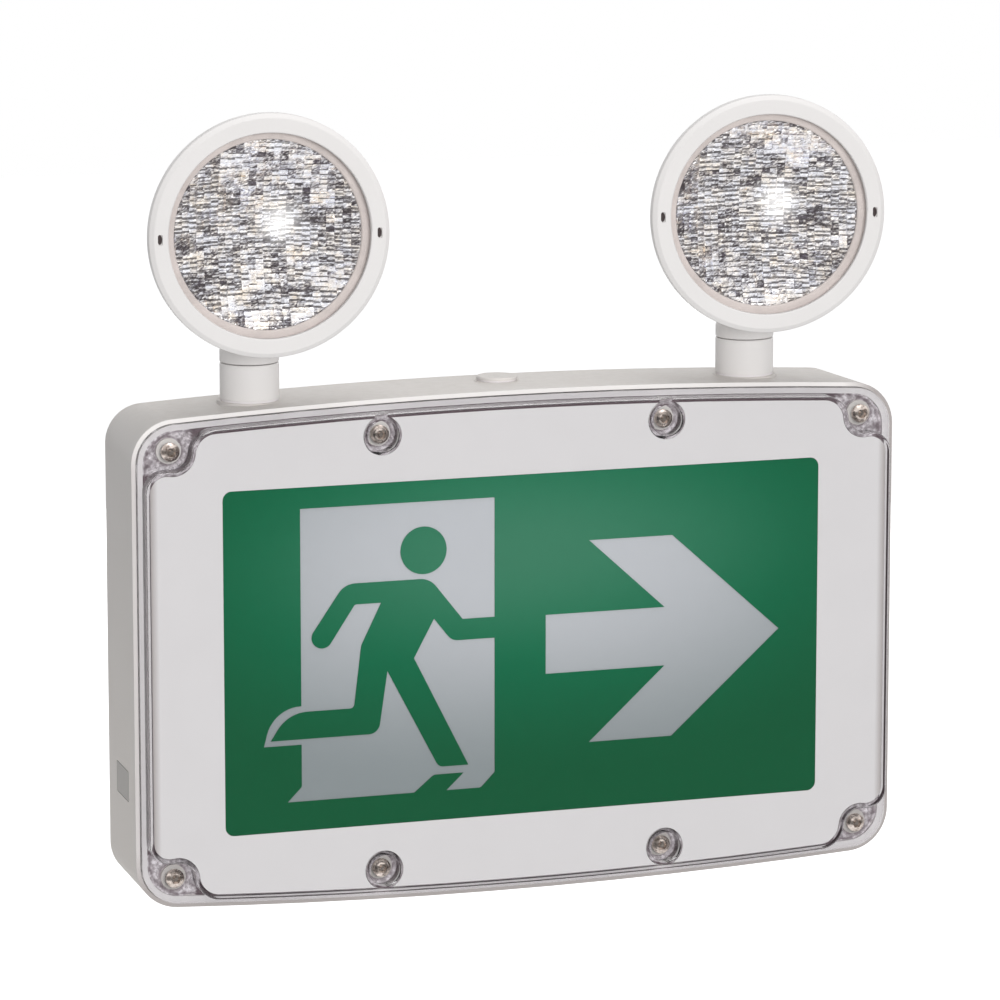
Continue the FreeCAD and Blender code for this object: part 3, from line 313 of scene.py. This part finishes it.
def make_housing():
    """Textured moulding with painted shade: its side walls are paler low down and deeper towards the
    top, and its lip has painted tones of light and shade.

    The lip round the cover has a painted highlight along the top, is plain at the left, and has
    painted shade along the foot and the right side.
    """
    material, graph, shader, _ = new_material("housing")
    axes = graph.axes(graph.place())
    outward = graph.math("MULTIPLY", axes["Y"], -1.0)
    lip = -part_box("back_box")[0].y
    on_lip = graph.spread(outward, lip - 1.6 * MM, lip - 0.2 * MM)
    sideways = graph.math("ABSOLUTE", graph.axes(graph.normal())["X"])
    # painted shade on the side walls: paler low down, deeper towards the top
    height = graph.spread(axes["Z"], -WALL_HALF_HEIGHT, WALL_HALF_HEIGHT)
    wall_painted_shade = graph.mix(height, colour(0.80, 0.755, 0.715), colour(0.63, 0.605, 0.59))
    plain = graph.mix(sideways, colour(0.72, 0.685, 0.655), wall_painted_shade)
    # painted light on the lip: a highlight along the top, shade along the foot and the right side
    lip_highlight_top = graph.spread(axes["Z"], 0.085, 0.100)
    lip_shade_foot = graph.spread(axes["Z"], -0.080, -0.098)
    lip_shade_right = graph.spread(axes["X"], 0.150, 0.165)
    lip_light_and_shade = graph.mix(lip_highlight_top, colour(0.70, 0.665, 0.655), colour(0.92, 0.89, 0.87))
    lip_light_and_shade = graph.mix(graph.math("MAXIMUM", lip_shade_right, lip_shade_foot), lip_light_and_shade, colour(0.44, 0.405, 0.395))
    base = graph.mix(on_lip, plain, lip_light_and_shade)
    dress(graph, shader, MOULDED, 0.05 * MM, base=base, roughness=0.5, cloud=0.03,
          cloud_scale=45.0, grain_scale=1300.0, dust=0.12)
    return material


def make_mask_white():
    """White plate with painted light and shade: cut edges painted dark, but with a painted highlight round the
    middle screws; its two ends have painted shade.
    """
    material, graph, shader, _ = new_material("white_plate")
    # painted shade: faces that do not look to the front, the cut edges, are painted dark
    edge = graph.spread(graph.math("ABSOLUTE", graph.axes(graph.normal())["Y"]), 0.8, 0.3)
    axes = graph.axes(graph.place())
    width = graph.math("ABSOLUTE", axes["X"])
    height = graph.math("ABSOLUTE", axes["Z"])
    # round the middle screws the cut edges carry a painted highlight instead of painted shade
    below_outline, past_window = graph.spread(height, 0.103, 0.102), graph.spread(height, 0.083, 0.084)
    screw_highlight_zone = graph.math("MULTIPLY", below_outline, past_window)
    screw_highlight_zone = graph.math("MULTIPLY", screw_highlight_zone, graph.spread(width, 0.086, 0.085))
    cut = graph.mix(screw_highlight_zone, colour(0.20, 0.15, 0.16), colour(0.97, 0.95, 0.95))
    # painted shade: the last few millimetres at both ends fade to a dim brown-grey
    face = graph.mix(graph.spread(width, 0.1640, 0.1672), WHITE, colour(0.47, 0.43, 0.42))
    dress(graph, shader, MOULDED, 0.01 * MM, base=graph.mix(edge, face, cut), roughness=0.5, cloud=0.025,
          cloud_scale=60.0, grain_scale=1200.0, dust=0.0)
    return material


def make_deck_finish():
    """Pale moulded deck seen through the cover; its tone attribute runs from painted shade to pale."""
    material, graph, shader, _ = new_material("deck")
    fleck = graph.spread(graph.noise(graph.place(), 520.0, 3.0, 0.65), 0.40, 0.62, 0.35, 1.0)
    tone = graph.math("MULTIPLY", graph.attribute("deck_tone_painted_shade"), fleck)
    # painted shade: a low tone gives dark lilac
    base = graph.mix(tone, colour(0.15, 0.11, 0.125), colour(0.95, 0.90, 0.94))
    dress(graph, shader, MOULDED, 0.03 * MM, base=base, roughness=0.3, cloud=0.08,
          cloud_scale=200.0, dust=0.0)
    return material


FINISHES = {
    "housing": make_housing(),
    "gasket": moulded("gasket", colour(0.80, 0.77, 0.78), 0.6, cloud=0.05, dust=0.0),
    "cover": clear_plastic("clear_cover", colour(0.985, 0.985, 0.99), 0.02),
    "stainless": worked_metal("stainless", colour(0.72, 0.61, 0.54), 0.18,
                              stain=colour(0.09, 0.055, 0.04), stain_amount=0.9),
    "white_plate": make_mask_white(),
    "green_print": painted_backlight("green_print", colour(0.0, 0.103, 0.036),
                                   colour(0.002, 0.183, 0.082), colour(0.045, 0.045, 0.048), 0.05),
    "opal": painted_backlight("opal", colour(0.285, 0.32, 0.33), colour(0.585, 0.605, 0.635),
                            colour(0.0, 0.0, 0.0), 0.035),
    "tray_white": moulded("tray_white", colour(0.78, 0.745, 0.775), 0.35, cloud=0.12, cloud_scale=150.0,
                          dust=0.0),
    "board_white": moulded("board_white", colour(0.75, 0.75, 0.7), 0.5, dust=0.0),
    "lamp_chip": moulded("lamp_chip", colour(0.85, 0.68, 0.2), 0.4, dust=0.0),
    "battery_case": moulded("battery_case", colour(0.03, 0.03, 0.035), 0.4, dust=0.1),
    "zinc": worked_metal("zinc", colour(0.62, 0.63, 0.64), 0.35, stain_amount=0.1),
    "board_green": moulded("board_green", colour(0.02, 0.16, 0.07), 0.35, dust=0.1),
    "core_iron": moulded("core_iron", colour(0.10, 0.09, 0.08), 0.45, dust=0.1),
    "coil": moulded("coil", colour(0.45, 0.20, 0.05), 0.4, dust=0.1),
    "black_part": moulded("black_part", colour(0.06, 0.045, 0.045), 0.45, dust=0.0),
    "terminal_green": moulded("terminal_green", colour(0.05, 0.28, 0.12), 0.45, dust=0.1),
    "can": moulded("can", colour(0.05, 0.06, 0.12), 0.3, dust=0.1),
    "button_grey": moulded("button_grey", colour(0.46, 0.44, 0.42), 0.5, cloud=0.05, dust=0.05),
    "head_white": moulded("head_white", colour(0.79, 0.77, 0.76), 0.38, height=0.01 * MM, cloud=0.02,
                          cloud_scale=40.0, grain_scale=1100.0, dust=0.05),
    "lens": clear_plastic("lens", colour(0.99, 0.985, 0.98), 0.015),
}


def make_mirror():
    """Metallised flutes: tone of painted reflections; painted light in a middle spot and in glints."""
    material, graph, shader, _ = new_material("mirror")
    place = graph.place()
    warm = graph.spread(graph.noise(place, 140.0, 3.0, 0.7), 0.42, 0.68)
    cast = graph.mix(warm, colour(0.84, 0.86, 0.92), colour(0.97, 0.90, 0.80))
    # painted reflection: a low tone gives dark flutes, for reflections of dark surroundings
    tone = graph.mix(graph.attribute("facet_painted_reflection"), colour(0.05, 0.045, 0.06), cast)
    graph.feed(shader.inputs["Base Color"], tone)
    shader.inputs["Metallic"].default_value = 1.0
    fleck = graph.noise(place, 900.0, 2.0, 0.6)
    graph.feed(shader.inputs["Roughness"], graph.spread(fleck, 0.35, 0.65, 0.06, 0.2))
    # painted light: emission lights every flute faintly, and the painted spot and glints brightly
    lit = graph.mix(graph.attribute("painted_glow"), colour(0.065, 0.055, 0.057), colour(1.0, 0.99, 0.98))
    graph.feed(shader.inputs["Emission Color"], lit)
    shader.inputs["Emission Strength"].default_value = 0.9
    material.cycles.emission_sampling = "NONE"
    return material


FINISHES["mirror"] = make_mirror()
FINISHES["deck"] = make_deck_finish()
FLANGE_FINISH = moulded("flange", colour(0.80, 0.72, 0.69), 0.3, cloud=0.2, cloud_scale=90.0, dust=0.0)

for part in frame["record"]["subparts"]:
    mesh = nodes[part["node"]].data
    mesh.materials.clear()
    mesh.materials.append(FINISHES[part["material_slot"]])


# ---- pieces of the lamp heads ---------------------------------------------------------------

class HeadPlace:
    """Where one lamp head stands: its lens centre, and its across, forward and up directions."""

    def __init__(self, side):
        low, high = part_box(side + "_head_lens")
        self.centre = (low + high) / 2
        self.across = Vector(joints[side + "_tilt"]["axis"])
        self.forward = Vector((self.across.y, -self.across.x, 0.0))

    def to_row(self, across, forward, up):
        """Arrays in the head's own directions to an N x 3 array in the row frame."""
        place = np.outer(across, self.across) + np.outer(forward, self.forward)
        place[:, 2] += up
        return place + np.array(self.centre)

    def reach(self, node):
        """Nearest and farthest distance of a CAD node from the lens centre, along forward."""
        points = np.empty(len(nodes[node].data.vertices) * 3, np.float32)
        nodes[node].data.vertices.foreach_get("co", points)
        along = (points.reshape(-1, 3) - np.array(self.centre)) @ np.array(self.forward)
        return along.min(), along.max()


CLEARLY_INSIDE = 0.997          # a share of the disc's radius


def trim_to_disc(across, up, radius):
    """Keep the quads of a grid that reach inside a disc; points past its edge are drawn in to it.

    A point past the edge moves to radius / distance x its place.  A quad that only just reaches
    inside would be a sliver, so it is left out.  Returns the kept points' across and up, their
    places in the grid, and the quads.
    """
    away = np.hypot(across, up)
    inside = (away < radius * CLEARLY_INSIDE).ravel()
    draw = radius / np.maximum(away, radius)
    index = np.arange(across.size).reshape(across.shape)
    quads = np.stack([index[:-1, :-1], index[:-1, 1:], index[1:, 1:], index[1:, :-1]], -1)
    quads = quads.reshape(-1, 4)
    quads = quads[inside[quads].any(1)]
    used, quads = np.unique(quads, return_inverse=True)
    return (across * draw).ravel()[used], (up * draw).ravel()[used], used, quads.reshape(-1, 4)


def disc_solid(name, place, across, up, quads, front, back):
    """A closed solid between two height fields over one disc grid: heights are along forward."""
    count = len(across)
    points = np.vstack([place.to_row(across, front, up), place.to_row(across, back, up)])
    edges = np.stack([quads, np.roll(quads, -1, 1)], -1).reshape(-1, 2)
    code = edges[:, 0] * count + edges[:, 1]
    rim = edges[~np.isin(code, edges[:, 1] * count + edges[:, 0])]
    walls = np.stack([rim[:, 1], rim[:, 0], rim[:, 0] + count, rim[:, 1] + count], -1)
    return new_piece(name, points, np.vstack([quads, quads[:, ::-1] + count, walls]))


def new_piece(name, points, faces):
    mesh = bpy.data.meshes.new(name)
    mesh.from_pydata(points.tolist(), [], faces.tolist())
    mesh.validate()
    piece = bpy.data.objects.new(name, mesh)
    bpy.context.scene.collection.objects.link(piece)
    return piece


def wrapped_quads(rings, points):
    """Quads of a closed grid: the last ring joins the first, and each ring's last point its first."""
    index = np.arange(rings * points).reshape(rings, points)
    after, beside = np.roll(index, -1, 0), np.roll(index, -1, 1)
    return np.stack([index, beside, np.roll(after, -1, 1), after], -1).reshape(-1, 4)


def give_attribute(piece, name, values):
    attribute = piece.data.attributes.new(name, "FLOAT", "POINT")
    attribute.data.foreach_set("value", values.astype(np.float32))


def finish_piece(piece, slot, body, *replaced):
    piece.data.materials.append(FINISHES[slot])
    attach(piece, body)
    if replaced:
        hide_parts(*replaced)


# The reflector's mirror is cut into flutes, each a small level pillow, in blocks that lean at random.
FLUTE_WIDTH, FLUTE_HEIGHT = 3.3 * MM, 2.1 * MM
BLOCK_FLUTES = 3                # flutes side by side in one block
BLOCK_ROWS = 4
FACET_REACH = 40.5 * MM         # radius of the fluted part
BOWL_DEPTH = 11.0 * MM
FLUTE_STEPS = np.array([0.02, 0.26, 0.5, 0.74, 0.98])
BLOCK_LEAN = (0.24, 0.30)       # steepest slope of a block, across and up
FLUTE_LEAN = (0.08, 0.20)       # and of each flute in it
PILLOW_WIDE, PILLOW_HIGH = 0.16 * MM, 0.20 * MM
PAINTED_GLINT_ABOVE = 0.93              # a point has painted light where its draw from 0 to 1 is above this
# painted highlight spot on the mirror: its middle, across and up, and its radius
PAINTED_SPOT_AT, PAINTED_SPOT_RADIUS = (7.0 * MM, 4.0 * MM), 7.0 * MM
FLUTES_SUNK = 1.2 * MM          # how far the flutes stay behind the reflector's front
MIRROR_THICKNESS = 1.0 * MM


def make_reflector(side, place):
    """Shallow fluted bowl.

    Depth = bowl depth x (radius / reach) ^ 2, plus the lean of each block and of each flute, plus
    a pillow over each flute: high x (1 - b ^ 2) + wide x (1 - a ^ 2), a and b running -1 to 1.
    Tone = 0 to 1, a painted reflection, drawn for the block, the flute and the point.  Painted
    light = e ^ -(distance / spot radius) ^ 2, or what was drawn for the point's painted glints if that is
    brighter.
    """
    flutes = math.ceil(FACET_REACH / FLUTE_WIDTH / BLOCK_FLUTES) * BLOCK_FLUTES
    rows = math.ceil(FACET_REACH / FLUTE_HEIGHT) + 1
    flute = np.repeat(np.arange(-flutes, flutes), len(FLUTE_STEPS))
    row = np.repeat(np.arange(-rows, rows), len(FLUTE_STEPS))
    step_a, step_b = np.tile(FLUTE_STEPS, 2 * flutes), np.tile(FLUTE_STEPS, 2 * rows)
    flute, row = np.meshgrid(flute, row)
    step_a, step_b = np.meshgrid(step_a, step_b)
    block = flute // BLOCK_FLUTES
    shift = chance.uniform(0, FLUTE_HEIGHT, 2 * flutes)[block]
    across = (flute + step_a) * FLUTE_WIDTH
    up = (row + step_b) * FLUTE_HEIGHT + shift

    block_row = row // BLOCK_ROWS
    lean = chance.uniform(-1, 1, (4, 2 * flutes, 2 * rows))
    lean_across = BLOCK_LEAN[0] * lean[0][block, block_row] + FLUTE_LEAN[0] * lean[2][flute, row]
    lean_up = BLOCK_LEAN[1] * lean[1][block, block_row] + FLUTE_LEAN[1] * lean[3][flute, row]
    a, b = 2 * step_a - 1, 2 * step_b - 1
    pillow = PILLOW_HIGH * (1 - b ** 2) + PILLOW_WIDE * (1 - a ** 2)
    bowl = BOWL_DEPTH * (np.minimum(np.hypot(across, up), FACET_REACH) / FACET_REACH) ** 2
    rise = lean_across * a * FLUTE_WIDTH / 2 + lean_up * b * FLUTE_HEIGHT / 2 + pillow
    # painted reflection: these tones stand for reflections of dark and bright surroundings
    block_reflection = chance.uniform(-0.4, 0.4, (2 * flutes, 2 * rows))[block, block_row]
    speck_reflection = chance.normal(0, 0.4, flute.shape)
    flute_reflection = chance.normal(0.92, 0.4, (2 * flutes, 2 * rows))[flute, row]
    tone = np.clip(flute_reflection + block_reflection + speck_reflection, 0, 1)
    # painted glints of light at scattered points
    painted_glint = chance.uniform(0.3, 0.9, flute.shape) * (chance.uniform(size=flute.shape) > PAINTED_GLINT_ABOVE)

    across, up, used, quads = trim_to_disc(across, up, FACET_REACH)
    behind_lens = place.reach(side + "_reflector")[1] - FLUTES_SUNK
    front = behind_lens - BOWL_DEPTH + (bowl + rise).ravel()[used]
    front = np.minimum(front, behind_lens)
    piece = disc_solid(side + "_reflector_flutes", place, across, up, quads, front,
                       front - MIRROR_THICKNESS)
    # painted highlight: a bright spot, or the painted glints where they are brighter
    away = np.hypot(across - PAINTED_SPOT_AT[0], up - PAINTED_SPOT_AT[1])
    painted_glow = np.maximum(np.exp(-(away / PAINTED_SPOT_RADIUS) ** 2), painted_glint.ravel()[used])
    give_attribute(piece, "facet_painted_reflection", np.tile(tone.ravel()[used], 2))
    give_attribute(piece, "painted_glow", np.tile(painted_glow, 2))
    finish_piece(piece, "mirror", side + "_head", side + "_reflector")


def lathe(name, place, profile, count=160):
    """Turn a closed profile of (radius, forward) points, in order, round the head's axis."""
    profile = np.array(profile)
    turn = np.arange(count) * 2 * np.pi / count
    radius, forward = (np.tile(column, count) for column in profile.T)
    angle = np.repeat(turn, len(profile))
    points = place.to_row(radius * np.cos(angle), forward, radius * np.sin(angle))
    return new_piece(name, points, wrapped_quads(count, len(profile)))


def make_flange(side, place):
    """Pale ring between the flutes and the bezel: a shallow cone with a rolled inner edge."""
    face = place.reach(side + "_reflector")[1] - 0.2 * MM
    inner, outer, roll = FACET_REACH - 0.2 * MM, 45.0 * MM, 0.9 * MM
    profile = [(inner + roll * (1 - math.cos(t)), face - 1.1 * MM + roll * math.sin(t))
               for t in np.linspace(-0.6, math.pi / 2, 7)]
    profile += [(outer, face), (outer, face - 0.8 * MM), (FACET_REACH + 0.8 * MM, face - 1.8 * MM)]
    piece = lathe(side + "_reflector_flange", place, profile)
    piece.data.materials.append(FLANGE_FINISH)
    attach(piece, side + "_head")


def make_lens(side, place):
    """Clear disc with a rounded edge: a flat face, then a quarter round down to the rim."""
    low, high = place.reach(side + "_head_lens")
    radius, round_off, step = 46.9 * MM, 0.6 * MM, 2.0 * MM
    reach = np.arange(-24, 25) * step
    across, up, _, quads = trim_to_disc(*np.meshgrid(reach, reach), radius)
    near_rim = np.clip((np.hypot(across, up) - (radius - round_off)) / round_off, 0, 1)
    front = high - round_off * (1 - np.sqrt(1 - near_rim ** 2))
    piece = disc_solid(side + "_clear_lens", place, across, up, quads, front, np.full_like(up, low))
    finish_piece(piece, "lens", side + "_head", side + "_head_lens")


SLOT_SHADE_AT = 47.1 * MM            # distance of each slot's dark piece of painted shade from the head's middle
SLOT_SHADE_HALF_WIDTH, SLOT_SHADE_HALF_HEIGHT = 0.98 * MM, 2.15 * MM
SLOT_SHADE_SUNK = 1.15 * MM          # from the bezel's front to the foot of the dome
SLOT_SHADE_DOME, SLOT_SHADE_THICKNESS = 0.3 * MM, 0.4 * MM


def make_slot_shades(side, place):
    """Dark oval in each slot of the bezel, painted shade: its face a dome of height x (1 - r ^ 2)."""
    front = place.reach(side + "_head_bezel")[1]
    reach = np.linspace(-1, 1, 13)
    unit_across, unit_up, _, quads = trim_to_disc(*np.meshgrid(reach, reach), 0.97)
    face = front - SLOT_SHADE_SUNK + SLOT_SHADE_DOME * (1 - unit_across ** 2 - unit_up ** 2)
    up = unit_up * SLOT_SHADE_HALF_HEIGHT
    # painted shade: dark pieces where the slots look into the dark inside of the head
    for hand, sign in (("inner", 1), ("outer", -1)):
        across = sign * SLOT_SHADE_AT + unit_across * SLOT_SHADE_HALF_WIDTH
        name = "%s_%s_slot_shade" % (side, hand)
        piece = disc_solid(name, place, across, up, quads, face, face - SLOT_SHADE_THICKNESS)
        finish_piece(piece, "black_part", side + "_head")


for side in SIDES:
    head_place = HeadPlace(side)
    make_reflector(side, head_place)
    make_flange(side, head_place)
    make_lens(side, head_place)
    make_slot_shades(side, head_place)


# ---- deck under the clear cover ---------------------------------------------------------------

CORNER_SCREWS_BEYOND = 110 * MM  # screws farther than this from the middle are at the corners


def cover_screws():
    """Axes of the eight cover screws as (x, z), read from the screws' own points."""
    mesh = nodes["cover_screws"].data
    points = np.empty(len(mesh.vertices) * 3, np.float32)
    mesh.vertices.foreach_get("co", points)
    points = points.reshape(-1, 3)[:, [0, 2]]
    centres = []
    for sign_x in (-1, 1):
        for sign_z in (-1, 1):
            quarter = points[(points * (sign_x, sign_z) > 0).all(1)]
            outer = np.abs(quarter[:, 0]) > CORNER_SCREWS_BEYOND
            for group in (quarter[outer], quarter[~outer]):
                centres.append((group.min(0) + group.max(0)) / 2)
    return np.array(centres)


SIDE_STEPS, ARC_STEPS = 260, 24
STRAIGHT = 1e6                  # bulge radius that leaves an edge straight


def frame_path(half_x, half_z, corner, bulge):
    """Closed outline of an upright rectangle with rounded corners and bowed top and bottom.

    Arcs of the corner radius joined by straight runs; then each point comes in towards the
    middle by x^2 / (2 x bulge), in proportion to its height.
    """
    arcs = []
    for quarter, (sign_x, sign_z) in enumerate(((1, 1), (-1, 1), (-1, -1), (1, -1))):
        angle = np.linspace(quarter, quarter + 1, ARC_STEPS) * np.pi / 2
        arcs.append(np.stack([sign_x * (half_x - corner) + corner * np.cos(angle),
                              sign_z * (half_z - corner) + corner * np.sin(angle)], 1))
    runs = []
    for arc, after in zip(arcs, arcs[1:] + arcs[:1]):
        runs += [arc, np.linspace(arc[-1], after[0], SIDE_STEPS)[1:-1]]
    path = np.vstack(runs)
    path[:, 1] -= path[:, 1] / half_z * path[:, 0] ** 2 / (2 * bulge)
    return path


DECK_STEP_IN = 2.6 * MM         # how far the deck's outline lies inside the gasket's
DECK_CORNER, DECK_BULGE = 14.5 * MM, 2.6
DECK_OPENING, OPENING_CORNER = (144.2 * MM, 87.6 * MM), 3.0 * MM
DECK_STEPS = 34                 # points across the frame, from the opening to the outline
DECK_PROUD = 0.1 * MM           # its level face stands this far before the gasket's back
DECK_UNDER = 1.6 * MM           # and its underside this far behind it
OUTER_SHADE_LINE = (0.93, 0.02)       # painted line of shade near the outline: a bell over the share of the way

# Round a screw: bells over the distance from its axis, as (middle, width).
COLLAR, SPOKES = (7.6 * MM, 0.9 * MM), (11.5 * MM, 3.0 * MM)
# painted shade: a dark ring and dark streaks round each screw
PAINTED_SHADE_RING, PAINTED_SHADE_STREAKS = (6.0 * MM, 0.5 * MM), (11.0 * MM, 3.5 * MM)
COLLAR_RISE, SPOKE_RISE = 0.8, 0.6              # in mm
LINE_STRENGTH, LINE_SHADE = 0.9, 0.8            # of a ring, and what a full line of painted shade takes off the tone
PALE_AT_CORNER, PALE_AT_MIDDLE = 10.4 * MM, 8.4 * MM    # radius of the pale patch; beyond it the deck is painted shade
PALE_FADE = 0.7 * MM            # width of its soft edge
PALE_INWARD = 16 * MM           # a corner's patch reaches at most this far in from its screw


def bell(distance, middle, width):
    return np.exp(-((distance - middle) / width) ** 2)


def make_deck():
    """Pale moulded deck under the cover's edge, round the screw pillars.

    A frame between two outlines: point = inner + s x (outer - inner).  It rises in a collar round
    every screw and in short spokes beyond it: collar rise x bell(distance) + spoke rise x
    cos(9 x angle) x bell(distance).  Its tone is pale round the screws and painted shade elsewhere,
    with painted lines of shade in the pale.
    """
    half_x, _, half_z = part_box("cover_gasket")[1]
    outer = frame_path(half_x - DECK_STEP_IN, half_z - DECK_STEP_IN, DECK_CORNER, DECK_BULGE)
    inner = frame_path(*DECK_OPENING, OPENING_CORNER, STRAIGHT)
    s = np.linspace(0, 1, DECK_STEPS)[None, :, None]
    plan = inner[:, None] + s * (outer - inner)[:, None]
    rise, pale, lines = np.zeros((3,) + plan.shape[:2])
    for screw in cover_screws():
        corner = abs(screw[0]) > CORNER_SCREWS_BEYOND
        away = np.linalg.norm(plan - screw, axis=-1)
        angle = np.arctan2(*np.moveaxis(plan - screw, -1, 0))
        beyond = (plan - screw) * np.sign(screw)
        hollow = np.linalg.norm(np.minimum(beyond, 0), axis=-1) if corner else away
        near = np.where(beyond.min(-1) > -PALE_INWARD, 1, 0) if corner else 1
        reach = PALE_AT_CORNER if corner else PALE_AT_MIDDLE
        pale = np.maximum(pale, near * np.clip((reach - hollow) / PALE_FADE, 0, 1))
        # painted shade: dark streaks and a dark ring in the tone round each screw
        streak = np.abs(np.cos(4.5 * angle + 1.3 * np.sin(3 * angle + screw[0] * 90)))
        lines += (1 - streak) ** 2 * bell(away, *PAINTED_SHADE_STREAKS)
        lines += LINE_STRENGTH * bell(away, *PAINTED_SHADE_RING)
        rise += COLLAR_RISE * bell(away, *COLLAR)
        rise += SPOKE_RISE * np.cos(9 * angle) * bell(away, *SPOKES)
    gasket_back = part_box("cover_gasket")[1].y
    top = gasket_back - DECK_PROUD - np.clip(rise, -COLLAR_RISE, COLLAR_RISE) * MM
    under = np.full_like(top, gasket_back + DECK_UNDER)
    front = np.dstack([plan[..., 0], top, plan[..., 1]])
    back = np.dstack([plan[..., 0], under, plan[..., 1]])[:, ::-1]
    points = np.concatenate([front, back], 1)
    piece = new_piece("cover_deck", points.reshape(-1, 3), wrapped_quads(*points.shape[:2]))
    # painted shade: a dark line near the outline; a low tone is painted shade
    lines += LINE_STRENGTH * bell(s[..., 0], *OUTER_SHADE_LINE)
    tone = np.clip(pale * (1 - LINE_SHADE * np.clip(lines, 0, 1)), 0, 1)
    give_attribute(piece, "deck_tone_painted_shade", np.concatenate([tone, tone[:, ::-1]], 1).ravel())
    piece.data.materials.append(FINISHES["deck"])
    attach(piece, "housing")


make_deck()


# ---- floor, light and camera ----------------------------------------------------------------

def make_floor():
    """Pale floor below and behind the light: plain white, apart from the shadow it keeps."""
    side, front, back, drop = 3.0, -0.25, 5.0, 0.30
    seen_level, mirrored_level = 0.7, 0.3
    height = cad_box[0].z - drop
    corners = [(-side, front, height), (side, front, height), (side, back, height), (-side, back, height)]
    mesh = bpy.data.meshes.new("floor")
    mesh.from_pydata(corners, [], [(0, 1, 2, 3)])
    floor = bpy.data.objects.new("floor", mesh)
    bpy.context.scene.collection.objects.link(floor)
    material, graph, shader, output = new_material("floor")
    shader.inputs["Base Color"].default_value = colour(0.8, 0.8, 0.8)
    shader.inputs["Roughness"].default_value = 0.9
    path = graph.add("ShaderNodeLightPath").outputs
    sharp = graph.math("ADD", path["Is Transmission Ray"], path["Is Glossy Ray"])
    sharp = graph.math("MULTIPLY", sharp, mirrored_level)
    seen = graph.math("ADD", graph.math("MULTIPLY", path["Is Camera Ray"], seen_level), sharp)
    white = graph.add("ShaderNodeEmission", {"Color": colour(1, 1, 1), "Strength": seen})
    total = graph.add("ShaderNodeAddShader")
    graph.feed(total.inputs[0], shader.outputs[0])
    graph.feed(total.inputs[1], white.outputs[0])
    graph.feed(output.inputs["Surface"], total.outputs[0])
    material.cycles.emission_sampling = "NONE"
    mesh.materials.append(material)


BAND_LEVEL = 0.12               # of the dark band, as metal and glass see it
ROOM_RISE = 1.02                # what the rest of the room has above that


def make_world():
    """White room round the light with a dark band in front of it, as metal and glass see it.

    Diffuse surfaces get one even level from it, and the camera sees plain white.
    """
    world = bpy.data.worlds.new("studio")
    bpy.context.scene.world = world
    world.use_nodes = True
    world.node_tree.nodes.clear()
    graph = Graph(world.node_tree)
    path = graph.add("ShaderNodeLightPath").outputs
    way = graph.axes(graph.add("ShaderNodeTexCoord").outputs["Generated"])
    behind = graph.spread(way["Y"], -0.25, 0.15)
    above = graph.spread(way["Z"], 0.16, 0.24)
    below = graph.spread(way["Z"], -0.34, -0.44)
    bright = graph.math("MAXIMUM", behind, graph.math("MAXIMUM", above, below))
    room = graph.math("ADD", graph.math("MULTIPLY", bright, ROOM_RISE), BAND_LEVEL)
    sharp = graph.math("ADD", path["Is Glossy Ray"], path["Is Transmission Ray"], clamp=True)
    soft = graph.math("MULTIPLY", graph.math("SUBTRACT", 1.0, sharp), AMBIENT)
    lit = graph.math("ADD", graph.math("MULTIPLY", room, sharp), soft)
    strength = graph.math("MAXIMUM", path["Is Camera Ray"], lit)
    background = graph.add("ShaderNodeBackground", {"Color": colour(1, 1, 1), "Strength": strength})
    output = graph.add("ShaderNodeOutputWorld")
    graph.feed(output.inputs["Surface"], background.outputs[0])


def add_softbox(name, position, size, power, mirrored=True):
    """Square lamp aimed at the light; mirrored says whether gloss and metal show it."""
    lamp = bpy.data.lights.new(name, "AREA")
    lamp.shape = "SQUARE"
    lamp.size = size
    lamp.energy = power
    box = bpy.data.objects.new(name, lamp)
    box.location = position
    box.rotation_euler = (Vector((0.0, 0.0, 0.05)) - Vector(position)).to_track_quat("-Z", "Y").to_euler()
    box.visible_glossy = mirrored
    box.visible_transmission = mirrored
    bpy.context.scene.collection.objects.link(box)


def make_camera():
    """The camera stands to the viewer's left and above, looking a little down."""
    camera = bpy.data.cameras.new("camera")
    camera.lens = 190.7
    camera.clip_end = 50.0
    holder = bpy.data.objects.new("camera", camera)
    holder.location = (-0.7285, -2.1890, 0.4735)
    turn, dip = 0.325, 0.1803
    holder.rotation_euler = (math.pi / 2 - dip, 0.0, -turn)
    bpy.context.scene.collection.objects.link(holder)
    bpy.context.scene.camera = holder


make_floor()
make_world()
add_softbox("front_softbox", (-0.1, -2.4, 0.45), 0.8, 34.0, mirrored=False)
add_softbox("overhead_softbox", (0.1, -0.3, 1.8), 1.2, 8.5)
add_softbox("rear_softbox", (0.7, 2.4, 0.12), 1.2, 14.0, mirrored=False)
make_camera()
bpy.context.scene.view_settings.view_transform = "Standard"
